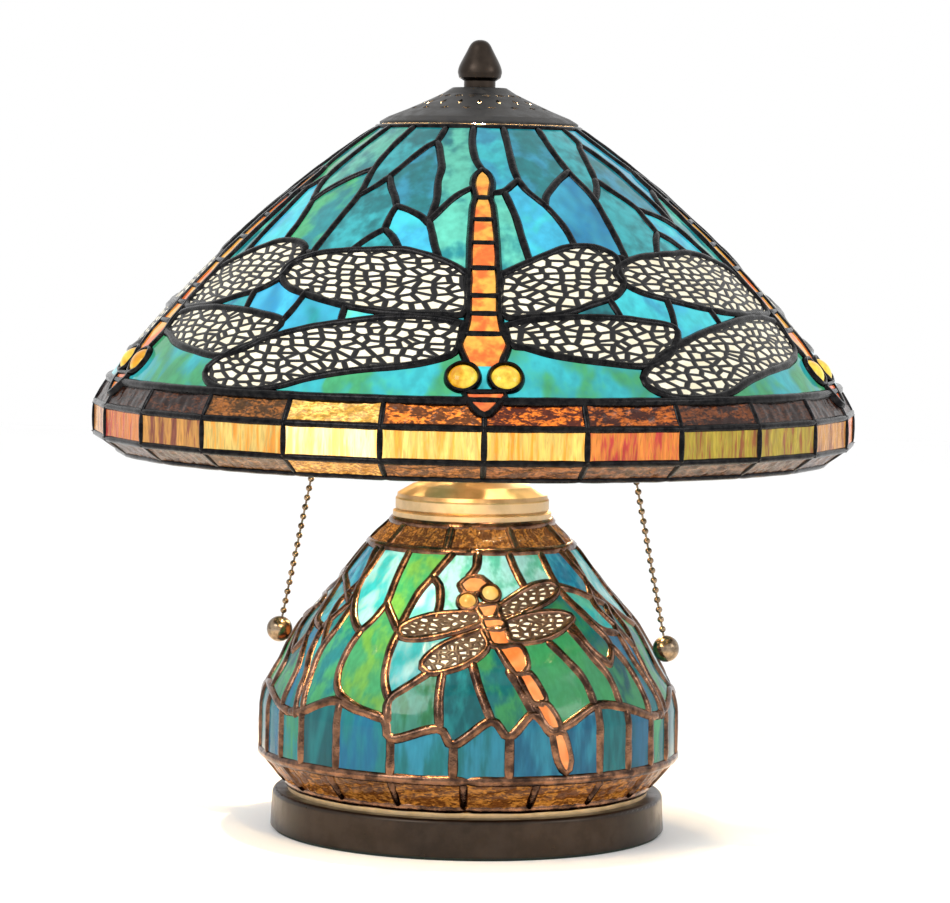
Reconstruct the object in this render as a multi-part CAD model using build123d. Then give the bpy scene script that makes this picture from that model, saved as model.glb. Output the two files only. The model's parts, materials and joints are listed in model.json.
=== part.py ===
"""Leaded glass table lamp: round metal foot, lit glass body, two pull-chain lights and a dragonfly shade.

Millimetres, +Z up, origin at the centre of the foot's underside, and the front dragonfly faces -Y.
Every function at the end builds one sub-part, and each sub-part is written to parts/NAME.step.
"""
import os
from math import asin, atan2, cos, degrees, hypot, pi, radians, sin, tan

from build123d import *

os.makedirs("parts", exist_ok=True)

# ---------------------------------------------------------------- driving dimensions
# foot
FOOT_R = 95.7            # outer radius at the underside
FOOT_TAPER = 1.0         # the side leans in by this much at the top
FOOT_H = 18.9            # top face above the table
FOOT_WALL = 2.5
FOOT_EDGE = 2.2          # rounding of the top edge
FELT_T = 1.5
FELT_INSET = 1.5         # felt stops short of the foot's edge
WEIGHT_T = 8.0           # steel ballast ring
WEIGHT_BORE_R = 28.0
BUSHING_R = 3.4          # way through the cord bushing
BUSHING_WALL = 1.8
BUSHING_DEPTH = 5.0      # how far it reaches behind the foot's wall
BUSHING_LIP = 1.4
BUSHING_Z = 9.0

# threaded centre pipe, the stem on it and the rod above the sockets
PIPE_R = 4.8
PIPE_BORE_R = 3.4
NUT_ACROSS = 14.0
NUT_H = 5.0
WASHER_R = 11.0
WASHER_T = 1.2
STEM_R = 9.0
ROD_R = 3.2

# glass body on the foot
BODY_TOP_R = 38.4
BODY_TOP_Z = 152.0
BODY_BELLY_R = 101.2     # widest radius, at the top of the belt
BODY_BELT_TOP_Z = 62.0
BODY_BELT_Z = 37.0       # lower edge of the belt
BODY_FOOT_R = 86.5       # where the skirt meets the foot
BODY_FOOT_GAP = 2.2      # height of the brass seat ring

# gold collar on the glass body
COLLAR_R = 38.4
COLLAR_H = 11.0          # height of the stepped rim
COLLAR_DOME = 7.5        # rise of the dome above the rim
COLLAR_T = 1.6

# sockets, bulbs and pull chains
SOCKET_Z = 213.0
SOCKET_TURN = 16.0       # the front socket points this far to the left of the front
CLUSTER_R = 16.0
CLUSTER_H = 34.0
SOCKET_R = 17.0
SOCKET_L = 46.0
BULB_R = 27.0
BULB_L = 78.0
BULB_CAP_R = 13.0
SOCKET_NECK_R = 8.0
SOCKET_NECK_L = 4.0
SOCKET_FLOOR = 12.0
SOCKET_WALL = 2.5
CHAIN_R = 75.0           # radius at which the chains leave their arms
CHAIN_TOP_Z = 204.0
CHAIN_LEAN = 11.5        # degrees outward from straight down
CHAIN_L = 114.0          # from the arm's mouth to the middle of the ball
BELL_R = 5.0
BELL_L = 14.0
ARM_R = 3.0
LEVER_R = 1.5
LEVER_REACH = 6.0        # how far the lever hangs below its guide at rest
LEVER_HEAD_R = 3.6
COUPLING_R = 2.4
COUPLING_L = 5.7
COUPLING_TOP_R = 0.8
LINK_R = 0.5
CHAIN_PITCH = 4.77
BEAD_R = 1.6
BEAD_COUNT = 20
BALL_R = 6.35
PULL_TRAVEL = 6.0        # how far a pull lever moves; the joint uses the same value

# shade: a shallow dome, an upright band and a skirt that turns in
SHADE_TOP_R = 47.6
SHADE_TOP_Z = 340.0
SHADE_RIM_R = 184.5
SHADE_RIM_Z = 205.8
SHADE_BULGE = 8.8        # how far the dome stands out from a straight cone
BAND_H = 14.9
SKIRT_H = 10.4
SKIRT_IN = 12.5
GLASS_T = 3.0
LEAD_T = 4.0             # the lead is proud of the glass by half of the difference on each side
LEAD_W = 2.6
GLASS_DEPTHS = (LEAD_T - GLASS_T) / 2, (LEAD_T + GLASS_T) / 2
DRAGONFLIES = 5
RIM_TILES = 25
AMBER_TOP = 178.0        # girth distances down the dome from its top edge
AMBER_FOOT = 191.0
FRONT_TURN = 1.5         # the front dragonfly stands this many degrees off the front

# cap and finial
CAP_TOP_R = 13.0
CAP_TOP_Z = 358.8
CAP_EDGE_R = 46.9
CAP_EDGE_Z = 342.5
CAP_LIP = 1.6
CAP_T = 1.2
CAP_ROWS = 3
CAP_SLOTS = 18
FINIAL_TIP_Z = 381.8
FINIAL_R = 10.6
FINIAL_NECK_R = 7.6

CAP_SHAPE = [(0, 0), (0.135, 0.178), (0.371, 0.411), (0.627, 0.65), (0.904, 0.883), (1, 1)]
CAP_SLOT_R = 20.0
CAP_SLOT_STEP = 6.5
SLOT_L = 5.0
SLOT_W = 2.6
FINIAL_THREAD = 9.0      # how far the rod reaches into the finial
SPIDER_HUB_R = 8.0
SPIDER_ARM_W = 6.0
SPIDER_T = 3.0

# night light inside the glass body
NIGHT_Y = 34.0
NIGHT_R = 9.0
NIGHT_H = 26.0
BRACKET_T = 1.5

# glass body pattern
BODY_DRAGONFLIES = 3
BODY_TOP_TILES = 9
BELT_TILES = 27
BODY_SKIRT_TILES = 18
BODY_LEAF_TOP = 18.0     # girth distance of the lead line under the amber tiles
BODY_TILE_GAP = 3.0      # degrees of lead between the amber tiles at the mouth
BELT_TILE_GAP = 1.5      # degrees of lead between belt tiles and between skirt tiles
RIM_TILE_GAP = 0.9       # degrees of lead between the shade's rim tiles

# named clearances
SLIP = 0.2               # between a pipe and the hole that it passes through
TURN_GAP = 0.3           # between faces that turn past each other
LEVER_GAP = 0.08         # pull lever in its guide, a running fit


# ---------------------------------------------------------------- helpers
def profile(points):
    """Closed flat outline from (radius, height) corners, standing in the XZ plane."""
    return make_face(Polyline(*[(r, 0, z) for r, z in points], close=True))


def turned(points, arc=360.0):
    """Solid turned about Z from an outline's (radius, height) corners."""
    return revolve(profile(points), Axis.Z, revolution_arc=arc)


def tube(outer, inner, low, high):
    """Straight tube about Z."""
    return turned([(inner, low), (outer, low), (outer, high), (inner, high)])


def around(solid, count, start=0.0):
    """Copies of a solid at even angles about Z."""
    return [Rot(0, 0, start + 360.0 * i / count) * solid for i in range(count)]


def solids_of(items):
    """Every solid in a list of shapes, as one flat list."""
    return [solid for item in items for solid in item.solids()]


def save(name, items):
    """Write one node: a single solid, or a group of separate ones."""
    solids = solids_of(items if isinstance(items, list) else [items])
    shape = solids[0] if len(solids) == 1 else Compound(children=solids)
    shape.label = name
    export_step(shape, f"parts/{name}.step")


class Dome:
    """The shade's outer face: an arc turned about Z, with places given as turn and girth distance."""

    def __init__(self):
        run, drop = SHADE_RIM_R - SHADE_TOP_R, SHADE_TOP_Z - SHADE_RIM_Z
        chord = hypot(run, drop)
        self.radius = chord ** 2 / (8 * SHADE_BULGE) + SHADE_BULGE / 2
        back = self.radius - SHADE_BULGE
        self.centre_r = (SHADE_TOP_R + SHADE_RIM_R) / 2 - back * drop / chord
        self.centre_z = (SHADE_TOP_Z + SHADE_RIM_Z) / 2 - back * run / chord
        self.start = atan2(SHADE_TOP_Z - self.centre_z, SHADE_TOP_R - self.centre_r)
        self.length = 2 * self.radius * asin(chord / 2 / self.radius)

    def point(self, girth, depth=0.0):
        angle = self.start - girth / self.radius
        reach = self.radius - depth
        return self.centre_r + reach * cos(angle), self.centre_z + reach * sin(angle)

    def strip(self, top, foot, outer, inner):
        """Flat outline of the wall between two girth distances and two depths."""
        corners = [(top, outer), (foot, outer), (foot, inner), (top, inner)]
        middle = (top + foot) / 2
        a, b, c, d = [self.flat(*corner) for corner in corners]
        edges = [ThreePointArc(a, self.flat(middle, outer), b), Line(b, c),
                 ThreePointArc(c, self.flat(middle, inner), d), Line(d, a)]
        return make_face(edges)

    def flat(self, girth, depth):
        r, z = self.point(girth, depth)
        return r, 0, z


class Vase:
    """The glass body's outer face: a line of (radius, height) points turned about Z."""

    def __init__(self, points):
        self.points = points

    def point(self, girth, depth=0.0):
        left = girth
        for (r0, z0), (r1, z1) in zip(self.points, self.points[1:]):
            step = hypot(r1 - r0, z1 - z0)
            if left <= step:
                break
            left -= step
        along_r, along_z = (r1 - r0) / step, (z1 - z0) / step
        return r0 + along_r * left + along_z * depth, z0 + along_z * left - along_r * depth


def place(surface, turn, girth, depth=0.0):
    """Point in space at a turn from the front and a girth distance, on a turned face."""
    r, z = surface.point(girth, depth)
    return Vector(r * sin(radians(turn)), -r * cos(radians(turn)), z)


def inset_corners(corners, inset):
    """Corners of a flat outline whose every side has moved inward by the inset."""
    following = corners[1:] + corners[:1]
    area = sum(x0 * y1 - x1 * y0 for (x0, y0), (x1, y1) in zip(corners, following))
    turn = 1 if area > 0 else -1
    normals = []
    for (x0, y0), (x1, y1) in zip(corners, following):
        length = hypot(x1 - x0, y1 - y0)
        normals.append((turn * (y0 - y1) / length, turn * (x1 - x0) / length))
    moved = []
    for (x, y), (ax, ay), (bx, by) in zip(corners, normals[-1:] + normals[:-1], normals):
        share = inset / max(1 + ax * bx + ay * by, 0.5)
        moved.append((x + (ax + bx) * share, y + (ay + by) * share))
    return moved


def window(surface, outline, inset=0.0, reach=14.0):
    """Straight-sided prism through a turned wall, from an outline of (turn, girth) corners."""
    centre_turn = sum(turn for turn, girth in outline) / len(outline)
    centre_girth = sum(girth for turn, girth in outline) / len(outline)
    centre = place(surface, centre_turn, centre_girth)
    outward = centre - place(surface, centre_turn, centre_girth, 1.0)
    sideways = place(surface, centre_turn + 1, centre_girth) - place(surface, centre_turn - 1, centre_girth)
    plane = Plane(origin=centre, x_dir=sideways, z_dir=outward)
    corners = [plane.to_local_coords(place(surface, *corner)) for corner in outline]
    corners = inset_corners([(corner.X, corner.Y) for corner in corners], inset)
    return extrude(plane * make_face(Polyline(*corners, close=True)), amount=reach, both=True)


def cabochon(surface, turn, girth, radius, rise):
    """Round domed gem set in the wall at a turn and girth distance."""
    seat = place(surface, turn, girth, GLASS_T)
    outward = place(surface, turn, girth) - seat
    plane = Plane(origin=seat, z_dir=outward)
    lift = GLASS_T + rise
    bulge = (radius ** 2 + rise ** 2) / (2 * rise)
    ball = Pos(0, 0, lift - bulge) * Sphere(bulge)
    return plane * (Pos(0, 0, lift / 2) * Cylinder(radius, lift) & ball)


def bore(surface, turn, girth, radius, reach=14.0):
    """Round prism that clears a gem's place in the wall."""
    centre = place(surface, turn, girth)
    outward = centre - place(surface, turn, girth, 1.0)
    return Plane(origin=centre, z_dir=outward) * Cylinder(radius, 2 * reach)


# ---------------------------------------------------------------- patterns, as (turn, girth) corners
# One dragonfly and the glass that goes with it, measured from the dragonfly's own middle line.
PITCH = 360.0 / DRAGONFLIES
UPPER_LEFT_WING = [(-43, 106), (-40, 97.5), (-24, 93), (-17, 92), (-9, 98.5), (-3.1, 108), (-3.1, 128),
                   (-7, 130.5), (-18, 130), (-29, 124.5), (-40, 116.5)]
UPPER_RIGHT_WING = [(3.1, 108), (7, 101), (13.5, 94.5), (20, 88), (26, 88), (32, 97.5), (29, 106),
                    (30, 112), (24, 121), (18, 125), (13, 130.5), (3.1, 130.5)]
LOWER_LEFT_WING = [(-46.5, 168), (-45, 158), (-39, 148), (-35.5, 139.5), (-24, 136), (-12, 132.5),
                   (-3.4, 136), (-3.8, 147), (-5, 155), (-14, 159.5), (-24, 166), (-32, 174), (-40, 176.5)]
LOWER_RIGHT_WING = [(3.4, 136), (8, 133.5), (18, 131.5), (25, 132.3), (36.5, 139.5), (33, 148),
                    (27, 158), (18, 155.5), (10, 153), (3.8, 147)]
WINGS = [UPPER_LEFT_WING, UPPER_RIGHT_WING, LOWER_LEFT_WING, LOWER_RIGHT_WING]
TAIL_TIP = [(0, 36), (3.3, 46), (2.6, 57), (-2.6, 57), (-3.3, 46)]
SEGMENT_ENDS = [57, 72.5, 87.5, 103.5, 120.5, 130.5]
THORAX = [(-3.1, 130.5), (3.1, 130.5), (3.6, 142), (-3.6, 142)]
HEAD = [(-3.6, 142), (3.6, 142), (3.8, 147), (2.6, 158.5), (-2.6, 158.5), (-3.8, 147)]
CHIN = [(-2.9, 174.5), (2.9, 174.5), (0, 186)]
EYES = [(-3.2, 166), (3.2, 166)]
EYE_R = 7.4
EYE_RISE = 2.6
LEAVES = [
    [(-39.5, 3), (-19.5, 3), (-20, 40), (-17, 92), (-24, 93), (-40, 97.5), (-39.5, 60)],
    [(-19.5, 3), (-4.3, 3), (-2.5, 30), (0, 36), (-3.3, 46), (-2.6, 57), (-3.1, 108), (-9, 98.5),
     (-17, 92), (-20, 40)],
    [(-4.3, 3), (12, 3), (11.5, 36), (13.5, 94.5), (7, 101), (3.1, 108), (2.6, 57), (3.3, 46), (0, 36),
     (-2.5, 30)],
    [(12, 3), (32.5, 3), (32.5, 60), (32, 97.5), (26, 88), (20, 88), (13.5, 94.5), (11.5, 36)],
    [(13, 130.5), (18, 125), (24, 121), (25, 132.3), (18, 131.5)],
    [(24, 121), (30, 112), (32, 116.5), (37, 120.5), (36.5, 139.5), (25, 132.3)],
    [(37, 120.5), (43, 124.5), (54, 130), (59, 132), (48, 136), (36.5, 139.5)],
    [(-3.8, 147), (-2.6, 158.5), (-7.2, 163), (-6.6, 171), (-3.4, 177), (-30, 177), (-32, 174),
     (-24, 166), (-14, 159.5), (-5, 155)],
    [(3.8, 147), (10, 153), (18, 155.5), (27, 158), (25.5, 168), (26.5, 174), (26, 177), (3.4, 177),
     (6.6, 171), (7.2, 163), (2.6, 158.5)],
]

# The small dragonfly on the glass body, measured from the front.
BODY_WINGS = [
    [(13.5, 47), (24, 38), (38, 34.5), (42, 37), (36, 43), (26, 49), (13.5, 54)],
    [(13.5, 56), (20, 52), (36, 51), (42, 55), (34, 61), (26, 66), (13.5, 68)],
    [(-23, 57), (-14, 52), (3, 50), (3, 57), (-8, 63), (-18, 67), (-24, 64)],
    [(-14, 79), (-8, 68), (3, 60), (4.5, 68), (2, 76), (-6, 81.5), (-13, 83.5)],
]
BODY_SEGMENTS = [
    [(-4.5, 36), (2, 31), (9, 35), (5, 40), (-3, 40)],
    [(2, 47), (11, 46), (9, 54), (4, 54)],
    [(4, 54), (12, 54), (13, 68), (6, 68)],
    [(9, 69), (16.5, 69), (17.5, 82), (13, 84)],
    [(14.5, 84), (19, 83), (21.5, 97), (17.5, 99)],
    [(18, 99), (22, 98), (24.5, 108.5), (21, 108.5)],
]
BODY_EYES = [(-1.2, 45), (8.2, 40.5)]
BODY_EYE_R = 4.8


# ---------------------------------------------------------------- foot and centre pipe
def foot_side_r(z):
    """Outer radius of the foot's leaning side at a height."""
    return FOOT_R - FOOT_TAPER * z / FOOT_H


def foot():
    """Spun metal dish, open below, with a hole for the pipe and one for the cord bushing."""
    inner = FOOT_H - FOOT_WALL
    shell = turned([
        (foot_side_r(FELT_T), FELT_T), (foot_side_r(FOOT_H), FOOT_H), (PIPE_R + SLIP, FOOT_H),
        (PIPE_R + SLIP, inner), (foot_side_r(inner) - FOOT_WALL, inner),
        (foot_side_r(FELT_T) - FOOT_WALL, FELT_T)])
    rim = shell.edges().filter_by(GeomType.CIRCLE).sort_by(Axis.Z)[-2:].sort_by(SortBy.RADIUS)[-1]
    shell = fillet(rim, FOOT_EDGE)
    return shell - bushing_path(BUSHING_R + BUSHING_WALL)


def bushing_path(radius):
    """Rod along +Y through the foot's back wall, on the bushing's line."""
    length = 4 * FOOT_WALL
    return Pos(0, foot_side_r(BUSHING_Z), BUSHING_Z) * Rot(90, 0, 0) * Cylinder(radius, 2 * length)


def cord_bushing():
    """Flanged sleeve in the back of the foot, open for the cord."""
    sleeve_r = BUSHING_R + BUSHING_WALL
    flange_y = foot_side_r(BUSHING_Z - sleeve_r - BUSHING_LIP) + SLIP
    low = (Align.CENTER, Align.CENTER, Align.MIN)
    sleeve = Cylinder(sleeve_r, FOOT_WALL + BUSHING_DEPTH, align=low)
    flange = Cylinder(sleeve_r + BUSHING_LIP, BUSHING_LIP, align=low)
    sleeve = sleeve + Pos(0, 0, -BUSHING_LIP) * flange - Cylinder(BUSHING_R, 4 * BUSHING_DEPTH)
    return Pos(0, flange_y, BUSHING_Z) * Rot(90, 0, 0) * sleeve


def felt_pad():
    """Felt disc glued under the foot."""
    return turned([(0, 0), (FOOT_R - FELT_INSET, 0), (FOOT_R - FELT_INSET, FELT_T), (0, FELT_T)])


def foot_weight():
    """Steel ring that hangs under the foot's top plate and keeps the lamp steady."""
    top = FOOT_H - FOOT_WALL
    outer = foot_side_r(top) - FOOT_WALL - BUSHING_DEPTH - BUSHING_LIP
    return tube(outer, WEIGHT_BORE_R, top - WEIGHT_T, top)


def hex_nut(low):
    """Hexagonal nut round the pipe."""
    nut = extrude(RegularPolygon(NUT_ACROSS / 2, 6, major_radius=False), NUT_H)
    return Pos(0, 0, low) * nut - Cylinder(PIPE_R, 4 * (low + NUT_H))


def foot_washer():
    return tube(WASHER_R, PIPE_R, FOOT_H - FOOT_WALL - WASHER_T, FOOT_H - FOOT_WALL)


def foot_nut():
    return hex_nut(FOOT_H - FOOT_WALL - WASHER_T - NUT_H)


def lamp_pipe():
    """Threaded pipe that carries the wires and clamps foot, glass body and collar together."""
    return tube(PIPE_R, PIPE_BORE_R, FOOT_H - FOOT_WALL - WASHER_T - NUT_H - 1, collar_top_z() + 3)


# ---------------------------------------------------------------- glass body
def body_curve():
    """Outer corners of the glass body from its mouth to the top of its belt."""
    run = BODY_BELLY_R - BODY_TOP_R
    drop = BODY_TOP_Z - BODY_BELT_TOP_Z
    shares = [(0, 0), (0.17, 0.13), (0.43, 0.368), (0.68, 0.563), (0.857, 0.772), (1, 1)]
    return [(BODY_TOP_R + run * r, BODY_TOP_Z - drop * z) for r, z in shares]


def body_low_curve():
    """Outer corners of the belt and the skirt below it."""
    return [(BODY_BELLY_R, BODY_BELT_TOP_Z), (BODY_BELLY_R + 0.3, BODY_BELT_Z),
            (BODY_FOOT_R, FOOT_H + BODY_FOOT_GAP)]


def body_wall(points, outer, inner, start, stop, lean=0.0):
    """Flat outline of the glass body's wall between two girth distances and two depths.

    A wall that starts or stops on a corner is mitred by half of the corner's lean.
    """
    line = Vase(points)
    girths, reached = [start], 0.0
    for (r0, z0), (r1, z1) in zip(points, points[1:]):
        reached += hypot(r1 - r0, z1 - z0)
        if start + 2 < reached < stop - 2:
            girths.append(reached)
    girths.append(stop)
    edges = []
    for depth in (outer, inner):
        mitre = depth * tan(radians(abs(lean)) / 2)
        shifted = list(girths)
        if lean > 0:
            shifted[0] += mitre
        if lean < 0:
            shifted[-1] -= mitre
        flat = [(r, 0, z) for r, z in (line.point(girth, depth) for girth in shifted)]
        edges.append(Spline(*flat) if len(flat) > 2 else Line(*flat))
    ends = [Line(edges[0] @ 0, edges[1] @ 0), Line(edges[0] @ 1, edges[1] @ 1)]
    return make_face(edges + ends)


def girth_of(points):
    return sum(hypot(r1 - r0, z1 - z0) for (r0, z0), (r1, z1) in zip(points, points[1:]))


def body_windows(outlines, inset):
    """The outlines as prisms through the glass body, once for each small dragonfly."""
    line = Vase(body_curve())
    prisms = [window(line, outline, inset) for outline in outlines]
    return [copy for prism in prisms for copy in around(prism, BODY_DRAGONFLIES)]


def body_bores(radius):
    line = Vase(body_curve())
    holes = [bore(line, turn, girth, radius) for turn, girth in BODY_EYES]
    return [copy for hole in holes for copy in around(hole, BODY_DRAGONFLIES)]


def wall_pieces(wall, prisms):
    """What each prism cuts out of a turned wall."""
    return [wall & prism for prism in prisms]


def lantern_top_glass():
    """Ring of amber tiles round the mouth."""
    wall = body_wall(body_curve(), *GLASS_DEPTHS, LEAD_W, BODY_LEAF_TOP - LEAD_W / 2)
    tile = revolve(wall, Axis.Z, revolution_arc=360 / BODY_TOP_TILES - BODY_TILE_GAP)
    return around(tile, BODY_TOP_TILES)


def lantern_leaf_wall():
    curve = body_curve()
    return body_wall(curve, *GLASS_DEPTHS, BODY_LEAF_TOP + LEAD_W / 2, girth_of(curve) - LEAD_W / 2)


def lantern_leaf_glass():
    """Green and blue leaf glass between the small dragonflies, one curved panel for each."""
    sector = 360 / BODY_DRAGONFLIES
    panel = revolve(lantern_leaf_wall(), Axis.Z, revolution_arc=sector - BODY_TILE_GAP / 2)
    panels = around(panel, BODY_DRAGONFLIES, 90)
    prisms = body_windows(BODY_WINGS + BODY_SEGMENTS, 0) + body_bores(BODY_EYE_R + LEAD_W / 2)
    return [panel - prisms for panel in panels]


def lantern_wings():
    """Wings of the small dragonflies: cream glass under pierced metal."""
    return wall_pieces(revolve(lantern_leaf_wall(), Axis.Z), body_windows(BODY_WINGS, LEAD_W / 4))


def lantern_bodies():
    """Heads, chests and tail segments of the small dragonflies."""
    pieces = wall_pieces(revolve(lantern_leaf_wall(), Axis.Z), body_windows(BODY_SEGMENTS, LEAD_W / 4))
    return [piece - body_bores(BODY_EYE_R + LEAD_W / 4) for piece in pieces]


def lantern_gems():
    """Round amber glass eyes of the small dragonflies."""
    line = Vase(body_curve())
    gems = [cabochon(line, turn, girth, BODY_EYE_R, EYE_RISE / 2) for turn, girth in BODY_EYES]
    return [copy for gem in gems for copy in around(gem, BODY_DRAGONFLIES)]


def belt_lean():
    """Angle between the belt and the skirt below it, in degrees."""
    return degrees(atan2(BODY_BELLY_R - BODY_FOOT_R, BODY_BELT_Z - FOOT_H - BODY_FOOT_GAP))


def lantern_belt_glass():
    """Upright tiles round the widest part."""
    belt = body_low_curve()[:2]
    wall = body_wall(belt, *GLASS_DEPTHS, LEAD_W / 2, girth_of(belt) - LEAD_W / 2, -belt_lean())
    tile = revolve(wall, Axis.Z, revolution_arc=360 / BELT_TILES - BELT_TILE_GAP)
    return around(tile, BELT_TILES)


def lantern_skirt_glass():
    """Amber ripple tiles that lean in to the foot."""
    skirt = body_low_curve()[1:]
    wall = body_wall(skirt, *GLASS_DEPTHS, LEAD_W / 2, girth_of(skirt) - LEAD_W / 2, belt_lean())
    tile = revolve(wall, Axis.Z, revolution_arc=360 / BODY_SKIRT_TILES - BELT_TILE_GAP)
    return around(tile, BODY_SKIRT_TILES)


def lantern_lead():
    """Lead rings between the rows of the glass body and ribs between the amber tiles at its mouth."""
    curve, belt, skirt = body_curve(), body_low_curve()[:2], body_low_curve()[1:]
    full, half = girth_of(curve), LEAD_W / 2
    rings = [
        body_wall(curve, 0, LEAD_T, 0, LEAD_W),
        body_wall(curve, 0, LEAD_T, BODY_LEAF_TOP - half, BODY_LEAF_TOP + half),
        body_wall(curve, 0, LEAD_T, full - half, full),
        body_wall(skirt, 0, LEAD_T, 0, half, belt_lean()),
        body_wall(skirt, 0, LEAD_T, girth_of(skirt) - half, girth_of(skirt))]
    rib = revolve(body_wall(curve, 0, LEAD_T, LEAD_W, BODY_LEAF_TOP - half), Axis.Z,
                  revolution_arc=BODY_TILE_GAP)
    return [revolve(ring, Axis.Z) for ring in rings] + around(rib, BODY_TOP_TILES, -BODY_TILE_GAP)


def lantern_seat_ring():
    """Brass ring between the glass body and the foot."""
    return tube(BODY_FOOT_R + 1, BODY_FOOT_R - 2 * GLASS_T, FOOT_H, FOOT_H + BODY_FOOT_GAP)


def night_bracket():
    """Strip that holds the night light beside the pipe."""
    strip = Pos(0, NIGHT_Y / 2, FOOT_H + BRACKET_T / 2) * Box(2 * WASHER_R, NIGHT_Y + 2 * WASHER_R, BRACKET_T)
    return strip - Pos(0, 0, FOOT_H) * Cylinder(PIPE_R + SLIP, 4 * BRACKET_T)


def night_socket():
    """Candle-size lamp holder inside the glass body."""
    low = FOOT_H + BRACKET_T
    return Pos(0, NIGHT_Y, 0) * turned([(0, low), (NIGHT_R, low), (NIGHT_R, low + NIGHT_H),
                                        (NIGHT_R - 1.5, low + NIGHT_H), (NIGHT_R - 1.5, low + 4), (0, low + 4)])


def night_bulb():
    """Small bulb that lights the glass body from inside."""
    low = FOOT_H + BRACKET_T + NIGHT_H
    neck = NIGHT_R - 1.5 - SLIP
    outline = [Line((0, 0, low - 16), (neck, 0, low - 16)), Line((neck, 0, low - 16), (neck, 0, low)),
               Spline((neck, 0, low), (NIGHT_R + 3, 0, low + 14), (4, 0, low + 32), (0, 0, low + 34)),
               Line((0, 0, low + 34), (0, 0, low - 16))]
    return Pos(0, NIGHT_Y, 0) * revolve(make_face(outline), Axis.Z)


# ---------------------------------------------------------------- collar and stem
def collar_top_z():
    return BODY_TOP_Z + SLIP + COLLAR_H + COLLAR_DOME


def collar():
    """Spun brass cap on the mouth of the glass body: stepped rim and shallow dome."""
    low = BODY_TOP_Z + SLIP
    top = low + COLLAR_H
    step = COLLAR_R - 1.2
    rise = COLLAR_DOME
    outer = [(COLLAR_R, low), (COLLAR_R, low + 2.4), (step - 0.5, low + 3.2), (step, low + 4),
             (step, low + 8.4), (step - 0.6, low + 9.2), (step - 1, top)]
    dome = [(step - 8, top + rise * 0.55), (step * 0.5, top + rise * 0.92), (STEM_R + 1, top + rise)]
    mouth = [(PIPE_R + SLIP, top + rise), (PIPE_R + SLIP, top + rise - COLLAR_T)]
    inner = [(r - COLLAR_T * 0.6, z - COLLAR_T * 0.9) for r, z in reversed(dome)]
    rim = [(step - 1 - COLLAR_T, top - COLLAR_T * 0.5), (step - COLLAR_T - 0.8, low)]
    return turned(outer + dome + mouth + inner + rim)


def cluster_low_z():
    return SOCKET_Z - CLUSTER_H / 2


def stem():
    """Brass tube from the collar up to the socket cluster, over the pipe."""
    foot_flare = STEM_R + 3
    low, high = collar_top_z(), cluster_low_z()
    return turned([(PIPE_R + SLIP, low), (foot_flare, low), (foot_flare, low + 2), (STEM_R, low + 5),
                   (STEM_R, high), (PIPE_R + SLIP, high)])


# ---------------------------------------------------------------- sockets and bulbs
def level_plane(turn, distance=0.0):
    """Plane at socket height whose normal points outward at a turn from the front."""
    outward = Vector(sin(radians(turn)), -cos(radians(turn)), 0)
    return Plane(origin=outward * distance + Vector(0, 0, SOCKET_Z), x_dir=(0, 0, 1), z_dir=outward)


def cluster_body():
    """Turned brass body that joins stem, sockets, chain arms and rod."""
    low, high = cluster_low_z(), cluster_low_z() + CLUSTER_H
    return turned([(0, low), (CLUSTER_R - 3, low), (CLUSTER_R, low + 3), (CLUSTER_R, high - 3),
                   (CLUSTER_R - 3, high), (0, high)])


def socket(turn):
    """Brass socket shell, open outward, with a neck that ends on the cluster body."""
    base = Align.CENTER, Align.CENTER, Align.MIN
    neck = level_plane(turn, CLUSTER_R / 2) * Cylinder(SOCKET_NECK_R, CLUSTER_R / 2 + SOCKET_NECK_L, align=base)
    start = CLUSTER_R + SOCKET_NECK_L
    cup = Cylinder(SOCKET_R, SOCKET_L, align=base)
    well = Pos(0, 0, SOCKET_FLOOR) * Cylinder(SOCKET_R - SOCKET_WALL, SOCKET_L, align=base)
    shell = neck + level_plane(turn, start) * (cup - well)
    return shell - Pos(0, 0, SOCKET_Z) * Cylinder(CLUSTER_R, 2 * CLUSTER_H)


def bulb_base(turn):
    """Screw cap of a bulb, seated in its socket."""
    start = CLUSTER_R + SOCKET_NECK_L + SOCKET_FLOOR + SLIP
    length = SOCKET_L - SOCKET_FLOOR - SLIP
    tip = 3.0
    outline = [(0, 0), (5, 0), (5, tip), (BULB_CAP_R, tip + 3), (BULB_CAP_R, length), (0, length)]
    return level_plane(turn, start) * turned(outline)


def bulb_glass(turn):
    """Pear-shaped bulb."""
    start = CLUSTER_R + SOCKET_NECK_L + SOCKET_L
    widest = BULB_L - BULB_R
    neck = BULB_CAP_R - SLIP
    outline = [Line((0, 0, 0), (neck, 0, 0)),
               Spline((neck, 0, 0), (BULB_R * 0.8, 0, widest * 0.6), (BULB_R, 0, widest),
                      tangents=[(0.2, 0, 1), (0, 0, 1)]),
               ThreePointArc((BULB_R, 0, widest), (BULB_R * cos(pi / 4), 0, widest + BULB_R * sin(pi / 4)),
                             (0, 0, BULB_L)),
               Line((0, 0, BULB_L), (0, 0, 0))]
    return level_plane(turn, start) * revolve(make_face(outline), Axis.Z)


# ---------------------------------------------------------------- pull chains
def chain_plane(side, distance=0.0):
    """Plane across a chain's line; its normal points up the chain, and distance is measured down it."""
    turn = radians(side * 90 - SOCKET_TURN)
    outward = Vector(sin(turn), -cos(turn), 0)
    up = Vector(0, 0, cos(radians(CHAIN_LEAN))) - outward * sin(radians(CHAIN_LEAN))
    top = outward * CHAIN_R + Vector(0, 0, CHAIN_TOP_Z)
    return Plane(origin=top - up * distance, z_dir=up)


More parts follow.
